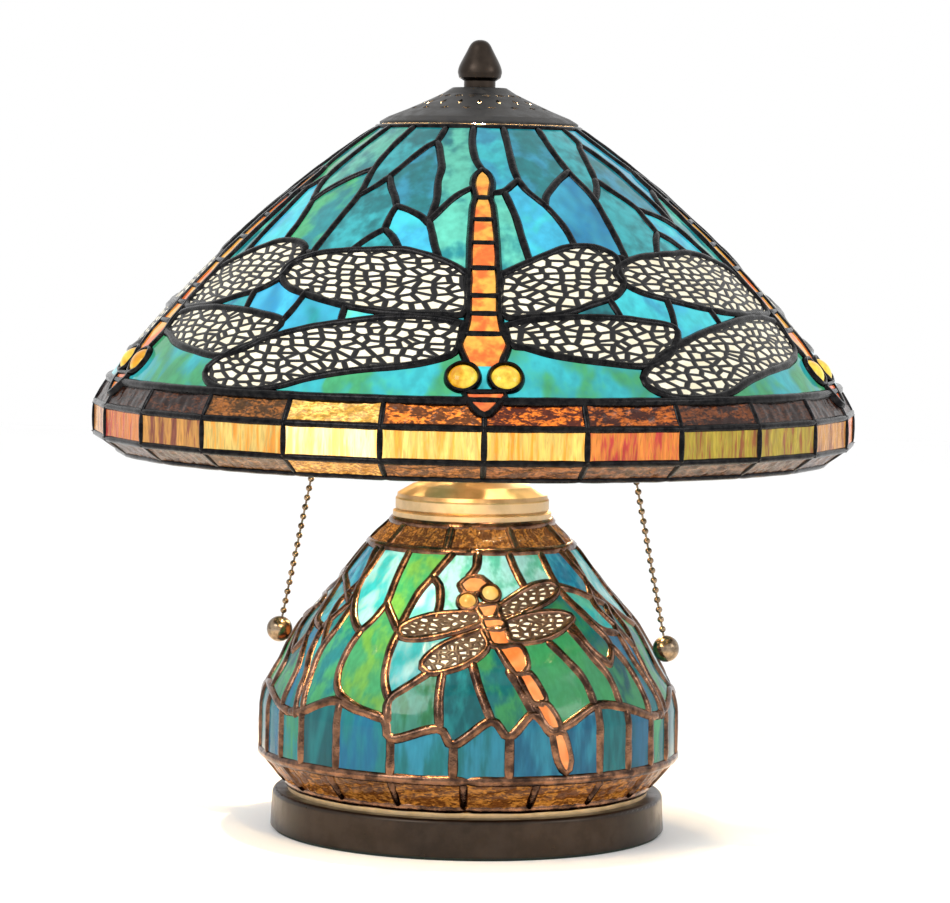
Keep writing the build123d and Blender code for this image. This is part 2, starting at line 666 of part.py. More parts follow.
def chain_arm(side):
    """Tube from the cluster body to a bell-shaped guide, through which the lever slides."""
    plane = chain_plane(side)
    low = Align.CENTER, Align.CENTER, Align.MIN
    tube_out = level_plane(side * 90 - SOCKET_TURN, CLUSTER_R / 2) * Cylinder(ARM_R, CHAIN_R, align=low)
    keep = level_plane(side * 90 - SOCKET_TURN) * Cylinder(4 * ARM_R, CHAIN_R - BELL_L / 4, align=low)
    guide = plane * turned([(LEVER_R + LEVER_GAP, 0), (BELL_R, 0), (BELL_R - 1, 3), (BELL_R - 1, BELL_L),
                            (LEVER_R + LEVER_GAP, BELL_L)])
    bell_room = plane * Cylinder(BELL_R - 1, 4 * BELL_L)
    return (tube_out & keep) - bell_room - Pos(0, 0, SOCKET_Z) * Cylinder(CLUSTER_R, 2 * CLUSTER_H) + guide


def pull_lever(side):
    """Switch rod that a chain pulls down through its guide."""
    head = BELL_L + PULL_TRAVEL + 0.5
    return chain_plane(side) * turned([(0, -LEVER_REACH), (LEVER_R, -LEVER_REACH), (LEVER_R, head),
                                       (LEVER_HEAD_R, head), (LEVER_HEAD_R, head + 2), (0, head + 2)])


def chain_coupling(side):
    """Small bell that hangs on the lever and grips the first bead."""
    plane = chain_plane(side, LEVER_REACH + TURN_GAP + COUPLING_L)
    return plane * turned([(0, 0), (COUPLING_R, 0), (COUPLING_R, 2.4),
                           (COUPLING_TOP_R, COUPLING_L), (0, COUPLING_L)])


def chain_start():
    """Distance down the chain's line to the top of the beads."""
    return LEVER_REACH + TURN_GAP + COUPLING_L + TURN_GAP


def chain(side):
    """Row of hollow beads on short links, as one turned solid."""
    cut = (BEAD_R ** 2 - LINK_R ** 2) ** 0.5
    first = chain_start() + BEAD_R
    edges = []
    last = (0, 0, -(first - cut))
    edges.append(Line(last, (LINK_R, 0, -(first - cut))))
    for i in range(BEAD_COUNT):
        centre = first + i * CHAIN_PITCH
        start, end = (LINK_R, 0, -(centre - cut)), (LINK_R, 0, -(centre + cut))
        edges.append(ThreePointArc(start, (BEAD_R, 0, -centre), end))
        below = centre + CHAIN_PITCH - cut if i < BEAD_COUNT - 1 else CHAIN_L - BALL_R
        edges.append(Line(end, (LINK_R, 0, -below)))
    foot_end = (0, 0, -(CHAIN_L - BALL_R))
    edges.append(Line((LINK_R, 0, -(CHAIN_L - BALL_R)), foot_end))
    edges.append(Line(foot_end, last))
    return chain_plane(side) * revolve(make_face(edges), Axis.Z)


def chain_ball(side):
    """Metal ball at the end of a chain, with a flat where the chain enters."""
    ball = Sphere(BALL_R) - Pos(0, 0, 2 * BALL_R - 0.1) * Box(4 * BALL_R, 4 * BALL_R, 2 * BALL_R)
    return chain_plane(side, CHAIN_L) * ball


# ---------------------------------------------------------------- shade
def rim_mitre():
    """Growth of the rim corner's mitre for each millimetre of depth."""
    return tan(atan2(SKIRT_IN, SKIRT_H) / 2)


def band_wall(outer, inner, gap):
    """Upright wall of the band, mitred at its lower corner."""
    top, low = SHADE_RIM_Z - gap, SHADE_RIM_Z - BAND_H + gap
    return profile([(SHADE_RIM_R - outer, top), (SHADE_RIM_R - outer, low + outer * rim_mitre()),
                    (SHADE_RIM_R - inner, low + inner * rim_mitre()), (SHADE_RIM_R - inner, top)])


def skirt_wall(outer, inner, gap):
    """Slanted wall of the skirt, mitred at its upper corner."""
    run = hypot(SKIRT_IN, SKIRT_H)
    along = Vector(-SKIRT_IN / run, 0, -SKIRT_H / run)
    inward = Vector(-SKIRT_H / run, 0, SKIRT_IN / run)
    top = Vector(SHADE_RIM_R, 0, SHADE_RIM_Z - BAND_H)
    corners = [(gap + outer * rim_mitre(), outer), (run - gap, outer), (run - gap, inner),
               (gap + inner * rim_mitre(), inner)]
    return make_face(Polyline(*[top + along * girth + inward * depth for girth, depth in corners], close=True))


def row_tiles(wall):
    """One tile for each side of the rim, with lead between them."""
    arc = 360 / RIM_TILES - RIM_TILE_GAP
    start = -90 + FRONT_TURN + RIM_TILE_GAP / 2
    return around(revolve(wall, Axis.Z, revolution_arc=arc), RIM_TILES, start)


def shade_prisms(outlines, inset):
    """The outlines as prisms through the shade, once for each dragonfly."""
    prisms = [window(dome, outline, inset) for outline in outlines]
    return [copy for prism in prisms for copy in around(prism, DRAGONFLIES, FRONT_TURN)]


def shade_bores(radius):
    holes = [bore(dome, turn, girth, radius) for turn, girth in EYES]
    return [copy for hole in holes for copy in around(hole, DRAGONFLIES, FRONT_TURN)]


def abdomen():
    """Outlines of the tail segments between the tail tip and the chest."""
    half = 3.1
    return [[(-half, top), (half, top), (half, foot_end), (-half, foot_end)]
            for top, foot_end in zip(SEGMENT_ENDS, SEGMENT_ENDS[1:])]


def glass_wall():
    """The dome's glass as one turned wall, recessed behind the face of the lead."""
    return revolve(dome.strip(LEAD_W, AMBER_FOOT, *GLASS_DEPTHS), Axis.Z)


def shade_leaf_glass():
    """Leaf-shaped glass between the dragonflies."""
    return wall_pieces(glass_wall(), shade_prisms(LEAVES, LEAD_W / 2))


def shade_wings():
    """Dragonfly wings: cream glass under pierced metal."""
    return wall_pieces(glass_wall(), shade_prisms(WINGS, LEAD_W / 2))


def shade_bodies():
    """Dragonfly tails, chests, heads and chins."""
    outlines = [TAIL_TIP] + abdomen() + [THORAX, HEAD, CHIN]
    return wall_pieces(glass_wall(), shade_prisms(outlines, LEAD_W / 2))


def shade_gems():
    """Round amber glass eyes of the dragonflies."""
    gems = [cabochon(dome, turn, girth, EYE_R, EYE_RISE) for turn, girth in EYES]
    return [copy for gem in gems for copy in around(gem, DRAGONFLIES, FRONT_TURN)]


def shade_amber_row():
    """Amber ripple tiles above the rim, notched for the dragonflies' chins."""
    wall = dome.strip(AMBER_TOP + LEAD_W / 2, AMBER_FOOT, *GLASS_DEPTHS)
    chins = shade_prisms([CHIN], -LEAD_W / 2)
    return [tile - chins for tile in row_tiles(wall)]


def shade_band_row():
    """Upright yellow and orange tiles of the rim."""
    return row_tiles(band_wall(*GLASS_DEPTHS, LEAD_W / 2))


def shade_skirt_row():
    """Brown ripple tiles that turn in under the rim."""
    return row_tiles(skirt_wall(*GLASS_DEPTHS, LEAD_W / 2))


def rim_corner():
    """Bent outline of the lead on the corner between band and skirt."""
    half = LEAD_W / 2
    run = hypot(SKIRT_IN, SKIRT_H)
    down_r, down_z = -SKIRT_IN / run, -SKIRT_H / run
    low = SHADE_RIM_Z - BAND_H
    inner_r, inner_z = SHADE_RIM_R - LEAD_T, low + LEAD_T * rim_mitre()
    return profile([
        (SHADE_RIM_R, low + half), (SHADE_RIM_R, low), (SHADE_RIM_R + down_r * half, low + down_z * half),
        (inner_r + down_r * half, inner_z + down_z * half), (inner_r, inner_z), (inner_r, inner_z + half)])


def shade_lead():
    """Lead rings round dome, band and skirt; the finer lead lies in the gaps between the glass."""
    half = LEAD_W / 2
    run = hypot(SKIRT_IN, SKIRT_H)
    foot_lead = skirt_wall(0, LEAD_T, 0) - skirt_wall(-LEAD_T, 2 * LEAD_T, 0).moved(
        Location((SKIRT_IN / run * half, 0, SKIRT_H / run * half)))
    upper = revolve(dome.strip(0, LEAD_W, 0, LEAD_T), Axis.Z)
    middle = revolve(dome.strip(AMBER_TOP - half, AMBER_TOP + half, 0, LEAD_T), Axis.Z)
    rim_top = revolve(dome.strip(AMBER_FOOT, dome.length, 0, LEAD_T), Axis.Z)
    rim_top -= tube(SHADE_RIM_R + 1, SHADE_RIM_R - 2 * LEAD_T, SHADE_RIM_Z - 2 * LEAD_T, SHADE_RIM_Z - half)
    return [upper, middle - shade_prisms([CHIN], -half), rim_top, revolve(rim_corner(), Axis.Z),
            revolve(foot_lead, Axis.Z)]


def shade_top_ring():
    """Brass ring soldered inside the shade's top opening."""
    inner_r, inner_z = dome.point(0, LEAD_T)
    return tube(inner_r - SLIP, inner_r - SLIP - 2.5, inner_z - 4, inner_z + 4)


def shade_spider():
    """Hub with three arms that carries the shade on the rod."""
    inner_r, inner_z = dome.point(0, LEAD_T)
    reach = inner_r - SLIP - 2.5
    hub = tube(SPIDER_HUB_R, ROD_R + TURN_GAP, inner_z - SPIDER_T, inner_z)
    arm_middle = Pos((reach + SPIDER_HUB_R) / 2, 0, inner_z - SPIDER_T / 2)
    arm = arm_middle * Box(reach - SPIDER_HUB_R + 1, SPIDER_ARM_W, SPIDER_T)
    arm = arm & tube(reach, SPIDER_HUB_R - 1, inner_z - 2 * SPIDER_T, inner_z + SPIDER_T)
    body = hub
    for copy in around(arm, 3):
        body += copy
    return body


def seat_nut():
    """Nut on the rod, under the spider's hub."""
    inner_z = dome.point(0, LEAD_T)[1]
    low = inner_z - SPIDER_T - TURN_GAP - NUT_H
    nut = extrude(RegularPolygon(NUT_ACROSS / 2, 6, major_radius=False), NUT_H)
    return Pos(0, 0, low) * (nut - Cylinder(ROD_R, 4 * NUT_H))


def riser_rod():
    """Rod from the cluster body up through spider and cap into the finial."""
    low = cluster_low_z() + CLUSTER_H
    return turned([(0, low), (ROD_R, low), (ROD_R, CAP_TOP_Z + FINIAL_THREAD), (0, CAP_TOP_Z + FINIAL_THREAD)])


def shade_cap():
    """Pierced metal cap over the shade's top opening."""
    run, drop = CAP_EDGE_R - CAP_TOP_R, CAP_TOP_Z - CAP_EDGE_Z
    slope = [(CAP_TOP_R + run * r, CAP_TOP_Z - drop * z) for r, z in CAP_SHAPE]
    hole = ROD_R + TURN_GAP
    lip_r = CAP_EDGE_R + 0.9
    outer = [(hole, CAP_TOP_Z)] + slope + [(lip_r, CAP_EDGE_Z - 0.6), (lip_r, CAP_EDGE_Z - CAP_LIP)]
    inner = [(lip_r - CAP_T, CAP_EDGE_Z - CAP_LIP), (lip_r - CAP_T, CAP_EDGE_Z - CAP_T)]
    inner += [(r - CAP_T * 0.45, z - CAP_T * 1.1) for r, z in reversed(slope)] + [(hole, CAP_TOP_Z - CAP_T * 1.1)]
    shell = turned(outer + inner)
    slots = []
    for row in range(CAP_ROWS):
        radius = CAP_SLOT_R + row * CAP_SLOT_STEP
        lozenge = Polygon((0, -SLOT_L / 2), (SLOT_W / 2, 0), (0, SLOT_L / 2), (-SLOT_W / 2, 0), align=None)
        slot = extrude(lozenge, 2 * CAP_TOP_Z)
        slot = Pos(radius, 0, 0) * Rot(0, 0, 90 * (row % 2)) * slot
        slots += around(slot, CAP_SLOTS, 180 / CAP_SLOTS * (row % 2))
    return shell.cut(*solids_of(slots))


def finial():
    """Acorn-shaped knob screwed on the rod."""
    low = CAP_TOP_Z + TURN_GAP
    rise = FINIAL_TIP_Z - low
    shoulder = low + rise * 0.3
    tip = Spline((FINIAL_R, 0, shoulder), (FINIAL_R * 0.87, 0, low + rise * 0.52),
                 (FINIAL_R * 0.56, 0, low + rise * 0.8),
                 (0, 0, FINIAL_TIP_Z), tangents=[(0, 0, 1), (-1, 0, 0)])
    under = [(FINIAL_R, 0, shoulder), (FINIAL_R - 0.6, 0, low + rise * 0.2),
             (FINIAL_NECK_R, 0, low + rise * 0.13),
             (FINIAL_NECK_R, 0, low)]
    thread_r = ROD_R + TURN_GAP
    top = CAP_TOP_Z + FINIAL_THREAD + TURN_GAP
    hole = [(FINIAL_NECK_R, 0, low), (thread_r, 0, low), (thread_r, 0, top), (0, 0, top), (0, 0, FINIAL_TIP_Z)]
    return revolve(make_face([tip, Polyline(*under), Polyline(*hole)]), Axis.Z)


# ---------------------------------------------------------------- write every sub-part
dome = Dome()
front, rear = -SOCKET_TURN, 180 - SOCKET_TURN
NODES = {
    "felt_pad": felt_pad, "foot": foot, "foot_weight": foot_weight, "cord_bushing": cord_bushing,
    "foot_washer": foot_washer, "foot_nut": foot_nut, "lamp_pipe": lamp_pipe,
    "lantern_seat_ring": lantern_seat_ring, "lantern_top_glass": lantern_top_glass,
    "lantern_leaf_glass": lantern_leaf_glass, "lantern_wings": lantern_wings,
    "lantern_bodies": lantern_bodies, "lantern_gems": lantern_gems, "lantern_belt_glass": lantern_belt_glass,
    "lantern_skirt_glass": lantern_skirt_glass, "lantern_lead": lantern_lead,
    "night_bracket": night_bracket, "night_socket": night_socket, "night_bulb": night_bulb,
    "collar": collar, "stem": stem, "cluster_body": cluster_body, "riser_rod": riser_rod,
    "seat_nut": seat_nut, "shade_spider": shade_spider, "shade_top_ring": shade_top_ring,
    "shade_leaf_glass": shade_leaf_glass, "shade_wings": shade_wings, "shade_bodies": shade_bodies,
    "shade_gems": shade_gems, "shade_amber_row": shade_amber_row, "shade_band_row": shade_band_row,
    "shade_skirt_row": shade_skirt_row, "shade_lead": shade_lead, "shade_cap": shade_cap, "finial": finial,
}
for name, make in NODES.items():
    save(name, make())
for name, turn in (("front", front), ("rear", rear)):
    save(f"{name}_socket", socket(turn))
    save(f"{name}_bulb_base", bulb_base(turn))
    save(f"{name}_bulb_glass", bulb_glass(turn))
for name, side in (("right", 1), ("left", -1)):
    save(f"{name}_chain_arm", chain_arm(side))
    save(f"{name}_pull_lever", pull_lever(side))
    save(f"{name}_chain_coupling", chain_coupling(side))
    save(f"{name}_chain", chain(side))
    save(f"{name}_chain_ball", chain_ball(side))
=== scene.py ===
"""Looks of the leaded glass table lamp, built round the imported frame.

Glass is leaded from lists of lead lines. A place on the shade or the glass body is a turn in degrees
from the front, and a girth distance in millimetres down the outer face from the top edge.
"""
import json

import bpy
import numpy as np
from mathutils import Matrix, Vector

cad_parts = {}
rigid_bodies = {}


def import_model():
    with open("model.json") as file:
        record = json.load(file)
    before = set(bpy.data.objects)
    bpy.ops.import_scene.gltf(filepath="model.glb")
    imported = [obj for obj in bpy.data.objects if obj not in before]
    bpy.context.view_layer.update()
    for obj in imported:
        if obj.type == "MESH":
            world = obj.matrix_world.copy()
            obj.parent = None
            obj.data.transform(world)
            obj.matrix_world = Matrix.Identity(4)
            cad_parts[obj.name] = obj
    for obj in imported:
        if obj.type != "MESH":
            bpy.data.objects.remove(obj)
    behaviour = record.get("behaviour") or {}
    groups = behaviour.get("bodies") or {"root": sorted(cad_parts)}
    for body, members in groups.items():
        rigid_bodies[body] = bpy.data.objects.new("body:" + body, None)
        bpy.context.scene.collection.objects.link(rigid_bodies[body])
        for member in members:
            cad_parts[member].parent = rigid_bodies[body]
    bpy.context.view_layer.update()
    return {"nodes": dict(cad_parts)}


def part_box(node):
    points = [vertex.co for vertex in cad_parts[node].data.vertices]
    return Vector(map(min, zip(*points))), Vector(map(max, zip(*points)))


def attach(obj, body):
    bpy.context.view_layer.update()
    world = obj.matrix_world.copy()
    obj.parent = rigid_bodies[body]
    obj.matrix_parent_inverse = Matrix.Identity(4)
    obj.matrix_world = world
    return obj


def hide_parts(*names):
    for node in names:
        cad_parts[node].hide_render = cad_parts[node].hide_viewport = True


bl_info = {
    "name": "Leaded Glass Lamp",
    "version": (1, 0, 0),
    "blender": (4, 5, 0),
    "location": "View3D > Sidebar > Lamp",
    "description": "Builds a dragonfly table lamp of leaded glass round its metal frame",
    "category": "Add Mesh",
}

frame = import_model()
MM = 0.001
SHARP_ANGLE = 48

# ---------------------------------------------------------------- sizes from the frame
LEAD_LOW, LEAD_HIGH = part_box("shade_lead")
RIM_R = LEAD_HIGH.x / MM
SHADE_TOP_Z = LEAD_HIGH.z / MM
SKIRT_FOOT_Z = LEAD_LOW.z / MM
SHADE_TOP_R = 47.6
RIM_TOP_Z = 205.8
BAND_FOOT_Z = 190.9
SKIRT_FOOT_R = RIM_R - 12.5
BULGE = 8.8  # how far the shade's profile stands out from a straight line
DRAGONFLIES = 5
FIFTH = 360 / DRAGONFLIES
BODY_DRAGONFLIES = 3
THIRD = 360 / BODY_DRAGONFLIES
RIM_TILES = 25
FRONT_TURN = 1.5  # turn of the front dragonfly's middle line
WALL = 3.0  # thickness of the shade's glass
BODY_WALL = WALL - 0.4
BODY_SINK = -0.4  # lift of the body's leaf glass
BODY_WING_LIFT, BODY_TRUNK_LIFT = 0.2, 0.4
BODY_EYE_RISE, EYE_SINK_BODY = 3.4, -0.2
EYE_TURN = 3.2
EYE_GIRTH = 166.0
EYE_R = 7.4
EYE_SCALE = 3.0  # millimetres to a degree of turn at the eyes
EYE_RISE = 4.6
WING_LIFT, TRUNK_LIFT, CHIN_LIFT = 0.3, 0.7, 0.9  # how far each stands out of the shade's face
SHADE_GRID, BODY_GRID = (1080, 150), (720, 100)  # cells round the turn and down the girth
SHADE_HALF_LINE, BODY_HALF_LINE = 1.05, 1.1  # half the width of a lead line when regions are found
AMBER_TOP = 178.0  # girth where the leaf glass ends and the amber row starts
TOP_BAND = 17.0  # girth where the body's amber band ends
TOP_PANES = 9
SKIRT_PANES = 18
TOP_PANE_START = -54
SKIRT_PANE_START = -61
EDGE_INSET = 1.4  # how far edge beads stay from a face's edge


# ---------------------------------------------------------------- turned faces
class Turned:
    """A face turned about Z: girth distance gives radius and height, and lift moves it outward."""

    def __init__(self, radius, height):
        self.r, self.z = np.asarray(radius, float), np.asarray(height, float)
        self.girth = np.concatenate([[0], np.cumsum(np.hypot(np.diff(self.r), np.diff(self.z)))])
        slope_r, slope_z = np.gradient(self.r, self.girth), np.gradient(self.z, self.girth)
        size = np.hypot(slope_r, slope_z)
        self.out_r, self.out_z = -slope_z / size, slope_r / size

    def at(self, turn, girth, lift=0.0):
        """Points in metres: the profile's point moved along its normal by lift, turned from the front."""
        turn, girth = np.broadcast_arrays(np.radians(turn), np.asarray(girth, float))
        r = np.interp(girth, self.girth, self.r) + lift * np.interp(girth, self.girth, self.out_r)
        z = np.interp(girth, self.girth, self.z) + lift * np.interp(girth, self.girth, self.out_z)
        return np.stack([r * np.sin(turn), -r * np.cos(turn), z], -1) * MM

    def radius(self, girth):
        return np.interp(girth, self.girth, self.r)

    def out(self, turn, girth):
        """Unit normals."""
        turn, girth = np.broadcast_arrays(np.radians(turn), np.asarray(girth, float))
        r, z = np.interp(girth, self.girth, self.out_r), np.interp(girth, self.girth, self.out_z)
        return np.stack([r * np.sin(turn), -r * np.cos(turn), z], -1)


def dome_profile():
    """Circular arc from the shade's top edge to its rim, standing out from the chord by the bulge."""
    share = np.linspace(0, 1, 120)
    run, drop = RIM_R - SHADE_TOP_R, SHADE_TOP_Z - RIM_TOP_Z
    chord = np.hypot(run, drop)
    curve_r = chord ** 2 / (8 * BULGE) + BULGE / 2
    half = np.arcsin(chord / 2 / curve_r)
    angle = half * (2 * share - 1)
    along = curve_r * np.sin(angle) + chord / 2
    out = curve_r * np.cos(angle) - curve_r + BULGE
    return (SHADE_TOP_R + (along * run + out * drop) / chord,
            SHADE_TOP_Z + (-along * drop + out * run) / chord)


def smooth(points, step=1.5):
    """Catmull-Rom curve through the points, sampled about every step."""
    points = np.asarray(points, float)
    if len(points) < 3:
        count = max(2, int(np.hypot(*(points[-1] - points[0])) / step) + 1)
        return points[0] + (points[-1] - points[0]) * np.linspace(0, 1, count)[:, None]
    padded = np.vstack([2 * points[0] - points[1], points, 2 * points[-1] - points[-2]])
    rows = []
    for a, b, c, d in zip(padded, padded[1:], padded[2:], padded[3:]):
        t = np.linspace(0, 1, max(2, int(np.hypot(*(c - b)) / step) + 1))[:-1, None]
        rows.append(0.5 * (2 * b + (c - a) * t + (2 * a - 5 * b + 4 * c - d) * t ** 2
                           + (3 * b - a - 3 * c + d) * t ** 3))
    return np.vstack(rows + [points[-1:]])


BODY_PROFILE = [(38.2, 152), (42.5, 147), (49.4, 140.2), (58.4, 128.9), (66.4, 118.2), (74, 109.6),
                (81.3, 101), (87.6, 91), (92.4, 82), (96.4, 75), (99.6, 68.4), (101.2, 61.5)]
BELT_PROFILE = [(101.2, 61.5), (101.5, 38)]
dome = Turned(*dome_profile())
body_line = np.vstack([smooth(BODY_PROFILE, 1.0), smooth(BELT_PROFILE, 1.0)[1:]])
body = Turned(*body_line.T)
skirt = Turned([101.5, 94.4, 87.3], [38.0, 29.6, 21.2])
SKIRT_LENGTH = float(skirt.girth[-1])
BODY_GIRTH = float(body.girth[-1])
BELT_STOP = BODY_GIRTH - 0.8

# ---------------------------------------------------------------- lead lines of the shade
# (turn, girth) from a dragonfly's own middle line; the set is repeated for each dragonfly.
UPPER_LEFT_WING = [(-3.2, 107), (-6, 101.5), (-11, 96), (-17.5, 92), (-24, 92.5), (-33, 94), (-39, 97),
                   (-43.5, 103), (-44, 109), (-40.5, 116.5), (-33, 122.5), (-25, 127.5), (-17, 130.5),
                   (-8, 131), (-3.2, 129)]
UPPER_RIGHT_WING = [(3.2, 107), (6.5, 102.5), (10, 98), (14, 93.5), (18, 89.5), (22.5, 88), (27, 89.5),
                    (30, 95), (29, 105), (28.6, 112), (25, 119.5), (20, 124), (15, 129), (10, 131),
                    (3.2, 130.5)]
LOWER_LEFT_WING = [(-3.5, 136), (-9, 133), (-16, 133), (-24, 136.5), (-30, 140), (-36, 145.5), (-42, 153),
                   (-46.3, 162), (-47, 169), (-44, 175), (-38, 176.8), (-32, 174), (-26.5, 168),
                   (-20, 163.5), (-12, 160), (-6.5, 155.5), (-4.2, 150)]
LOWER_RIGHT_WING = [(3.5, 137), (8, 133.5), (16, 131.5), (24, 132), (30, 134), (35.2, 137.5), (34, 146),
                    (30.6, 154), (26, 159), (19, 157), (11.5, 153.5), (6.5, 149), (4.2, 147.5)]
WINGS = [UPPER_LEFT_WING, UPPER_RIGHT_WING, LOWER_LEFT_WING, LOWER_RIGHT_WING]
BODY_SIDE = [(0, 36), (2.2, 40), (3, 46), (2.1, 56.5), (2.7, 62), (2.9, 73), (3, 88), (2.9, 104), (2.8, 120),
             (2.7, 130.5), (3.2, 142), (3.9, 148), (2.6, 158.5)]
BODY_CROSSINGS = [(57, 2.3), (72, 2.8), (87.3, 2.9), (103.3, 2.8), (120, 2.7), (130.5, 2.6), (142, 3.1)]
LEAF_LINES = [
    [(-39.5, 0), (-41, 19), (-40.5, 36), (-38, 54), (-38.5, 72), (-39.5, 96)],
    [(-19.5, 0), (-20, 10), (-20.5, 14.5), (-23.5, 18), (-27.5, 28), (-31.5, 42)],
    [(-20.5, 14.5), (-18.3, 19), (-16, 27), (-14.3, 35), (-14.1, 45), (-13, 58), (-13.5, 73)],
    [(-31.5, 42), (-34, 49), (-38, 57)],
    [(-31.5, 42), (-28.5, 50), (-25.5, 57), (-23.8, 63)],
    [(-23.8, 63), (-19.5, 66), (-15.5, 70.5), (-13.5, 75)],
    [(-23.8, 63), (-24.2, 71), (-24, 79)],
    [(-24, 79), (-27, 85), (-30, 94)],
    [(-24, 79), (-21.2, 84), (-18.5, 92)],
    [(-13.5, 73), (-9.5, 60), (-6.5, 53.5), (-3, 49)],
    [(-13.5, 73), (-12.2, 80), (-11, 88), (-9.5, 97)],
    [(-4.3, 0), (-4.5, 12), (-3.5, 22), (-2, 30), (0, 36)],
    [(12, 0), (11.4, 15), (11, 28), (11, 36), (11.5, 43)],
    [(11.5, 43), (9, 47), (6.3, 51.5), (2.8, 53)],
    [(6.3, 51.5), (7.4, 60), (8.4, 70), (8.9, 82), (9.7, 98)],
    [(11.5, 43), (13, 50), (15.3, 56), (17.3, 61)],
    [(17.3, 61), (18.7, 54.5), (22, 48), (26, 42), (31.5, 36)],
    [(17.3, 61), (19, 68), (20.5, 78), (21, 88)],
    [(24, 120.5), (25, 132.5)],
    [(37, 119.5), (36.2, 130), (35.2, 138)],
    [(46.5, 127), (46.8, 136.5)],
    [(13, 130.5), (13.5, 132)],
    [(31, 95), (33, 97)],
]
CHIN = [(-2.9, 174), (2.9, 174), (2.2, 179), (0, 185.5), (-2.2, 179)]


def body_sides():
    """Both side lines of a dragonfly's body and the short lines that cross it."""
    right = BODY_SIDE
    left = [(-turn, girth) for turn, girth in BODY_SIDE]
    return [right, left] + [[(-half, girth), (half, girth)] for girth, half in BODY_CROSSINGS]


# ---------------------------------------------------------------- lead lines of the glass body
BODY_LINES = [
    [(-56, 18), (-56, 30), (-57.5, 39)],
    [(-57.5, 39), (-50, 53), (-44, 61.5), (-40, 65)],
    [(-57.5, 39), (-62, 50), (-58, 64), (-54, 75)],
    [(-52, 52), (-52, 66), (-54, 77), (-53.5, 90), (-51, 108)],
    [(-35.5, 18), (-35.8, 34), (-35, 48)],
    [(-35, 48), (-37, 57), (-40, 65)],
    [(-35, 48), (-30, 55), (-25, 63)],
    [(-40, 65), (-41.8, 76), (-42, 88), (-39, 97), (-32, 103), (-23, 107.5)],
    [(-25, 63), (-26, 75), (-25.3, 88), (-22.5, 98)],
    [(-25, 63), (-24.5, 53), (-22.5, 41), (-18, 32)],
    [(-18, 32), (-14, 36), (-12.3, 45), (-12.5, 54)],
    [(-18, 32), (-15, 26), (-10, 18)],
    [(3.5, 18), (2.5, 26), (-1, 31)],
    [(20.5, 18), (22, 28), (24.5, 38)],
    [(40.5, 18), (40.5, 29), (41.5, 37)],
    [(41.5, 37), (52, 41), (61, 47), (66, 50)],
    [(41.5, 39), (47, 51), (52, 63), (60, 66.5)],
    [(57, 18), (62, 32), (66, 50)],
    [(60, 66.5), (63, 57), (66, 50)],
    [(38.5, 58), (42, 72), (48, 81.5)],
    [(43, 43), (49, 60), (52.5, 72), (48, 81.5)],
    [(27, 68), (32, 78), (36, 88), (37, 101)],
    [(37, 62), (42, 77), (46, 88), (46.3, 102)],
    [(52.5, 72), (56.5, 83), (58.3, 94), (58.3, 108)],
    [(60, 66.5), (61, 80), (64, 92), (66, 111)],
    [(0.8, 78), (3, 91), (6, 106)],
    [(-8, 83), (-8.3, 95), (-7.6, 110)],
    [(-12.5, 84), (-18, 91), (-22.5, 98), (-22, 108)],
    [(12, 82), (15, 92), (17.5, 103)],
]
SHOULDER_LINE = [(-57, 110), (-51, 108.5), (-40, 101), (-32, 104), (-23, 107.5), (-20.5, 116.5),
                 (-8, 110.5), (-3.8, 118), (6, 106.5), (10.8, 114), (17.5, 103.5), (22.5, 111.5),
                 (28, 108.5), (37, 101), (46, 102.5), (58, 109), (63, 110)]
BELT_TURNS = [-51, -37.5, -20.8, -3.8, 11, 37.6, 48.3, 58.8]
BODY_WINGS = [
    [(11.5, 47), (17, 42.5), (24, 38), (31, 35.3), (38, 34.8), (41.5, 37.5), (37, 42.5), (30, 46.5),
     (22, 50.5), (11.5, 54)],
    [(12.5, 56), (20, 52.5), (30, 51), (38, 52), (41, 55.5), (35, 60.5), (28, 65), (20, 67.3), (13.5, 67)],
    [(3, 50.5), (-6, 51), (-15, 53), (-22, 57), (-25, 61.5), (-23, 66.5), (-16, 66.5), (-7, 63), (3.5, 57)],
    [(3.8, 61), (-4, 65.5), (-9, 69.5), (-13.5, 76), (-14.5, 81), (-12, 83.8), (-5, 81.5), (2, 76),
     (6, 69)],
]
BODY_SEGMENTS = [
    [(-4.8, 35.5), (-1, 31.5), (5, 31.5), (8.5, 35), (4.5, 40), (-2, 40.3)],
    [(1.8, 47), (11, 46.3), (8.5, 54), (4.8, 54)],
    [(4, 54.5), (11.5, 54.5), (12, 60), (5.5, 60.5)],
    [(5.5, 60.5), (12, 60), (13.3, 68.5), (7.5, 69)],
    [(9, 70.5), (16.5, 69.5), (17.8, 80), (14, 84)],
    [(14.5, 84.5), (18.5, 83.5), (21.8, 96.5), (18, 98.5)],
    [(18.3, 99.5), (21.8, 98.5), (25, 110), (21.8, 112.5)],
    [(22.8, 113.5), (25.8, 112.5), (28.2, 126), (26.8, 131.5), (24.4, 126)],
]
BODY_EYES = [(-1.2, 45), (8.2, 40.5)]
BODY_EYE_R = 4.6


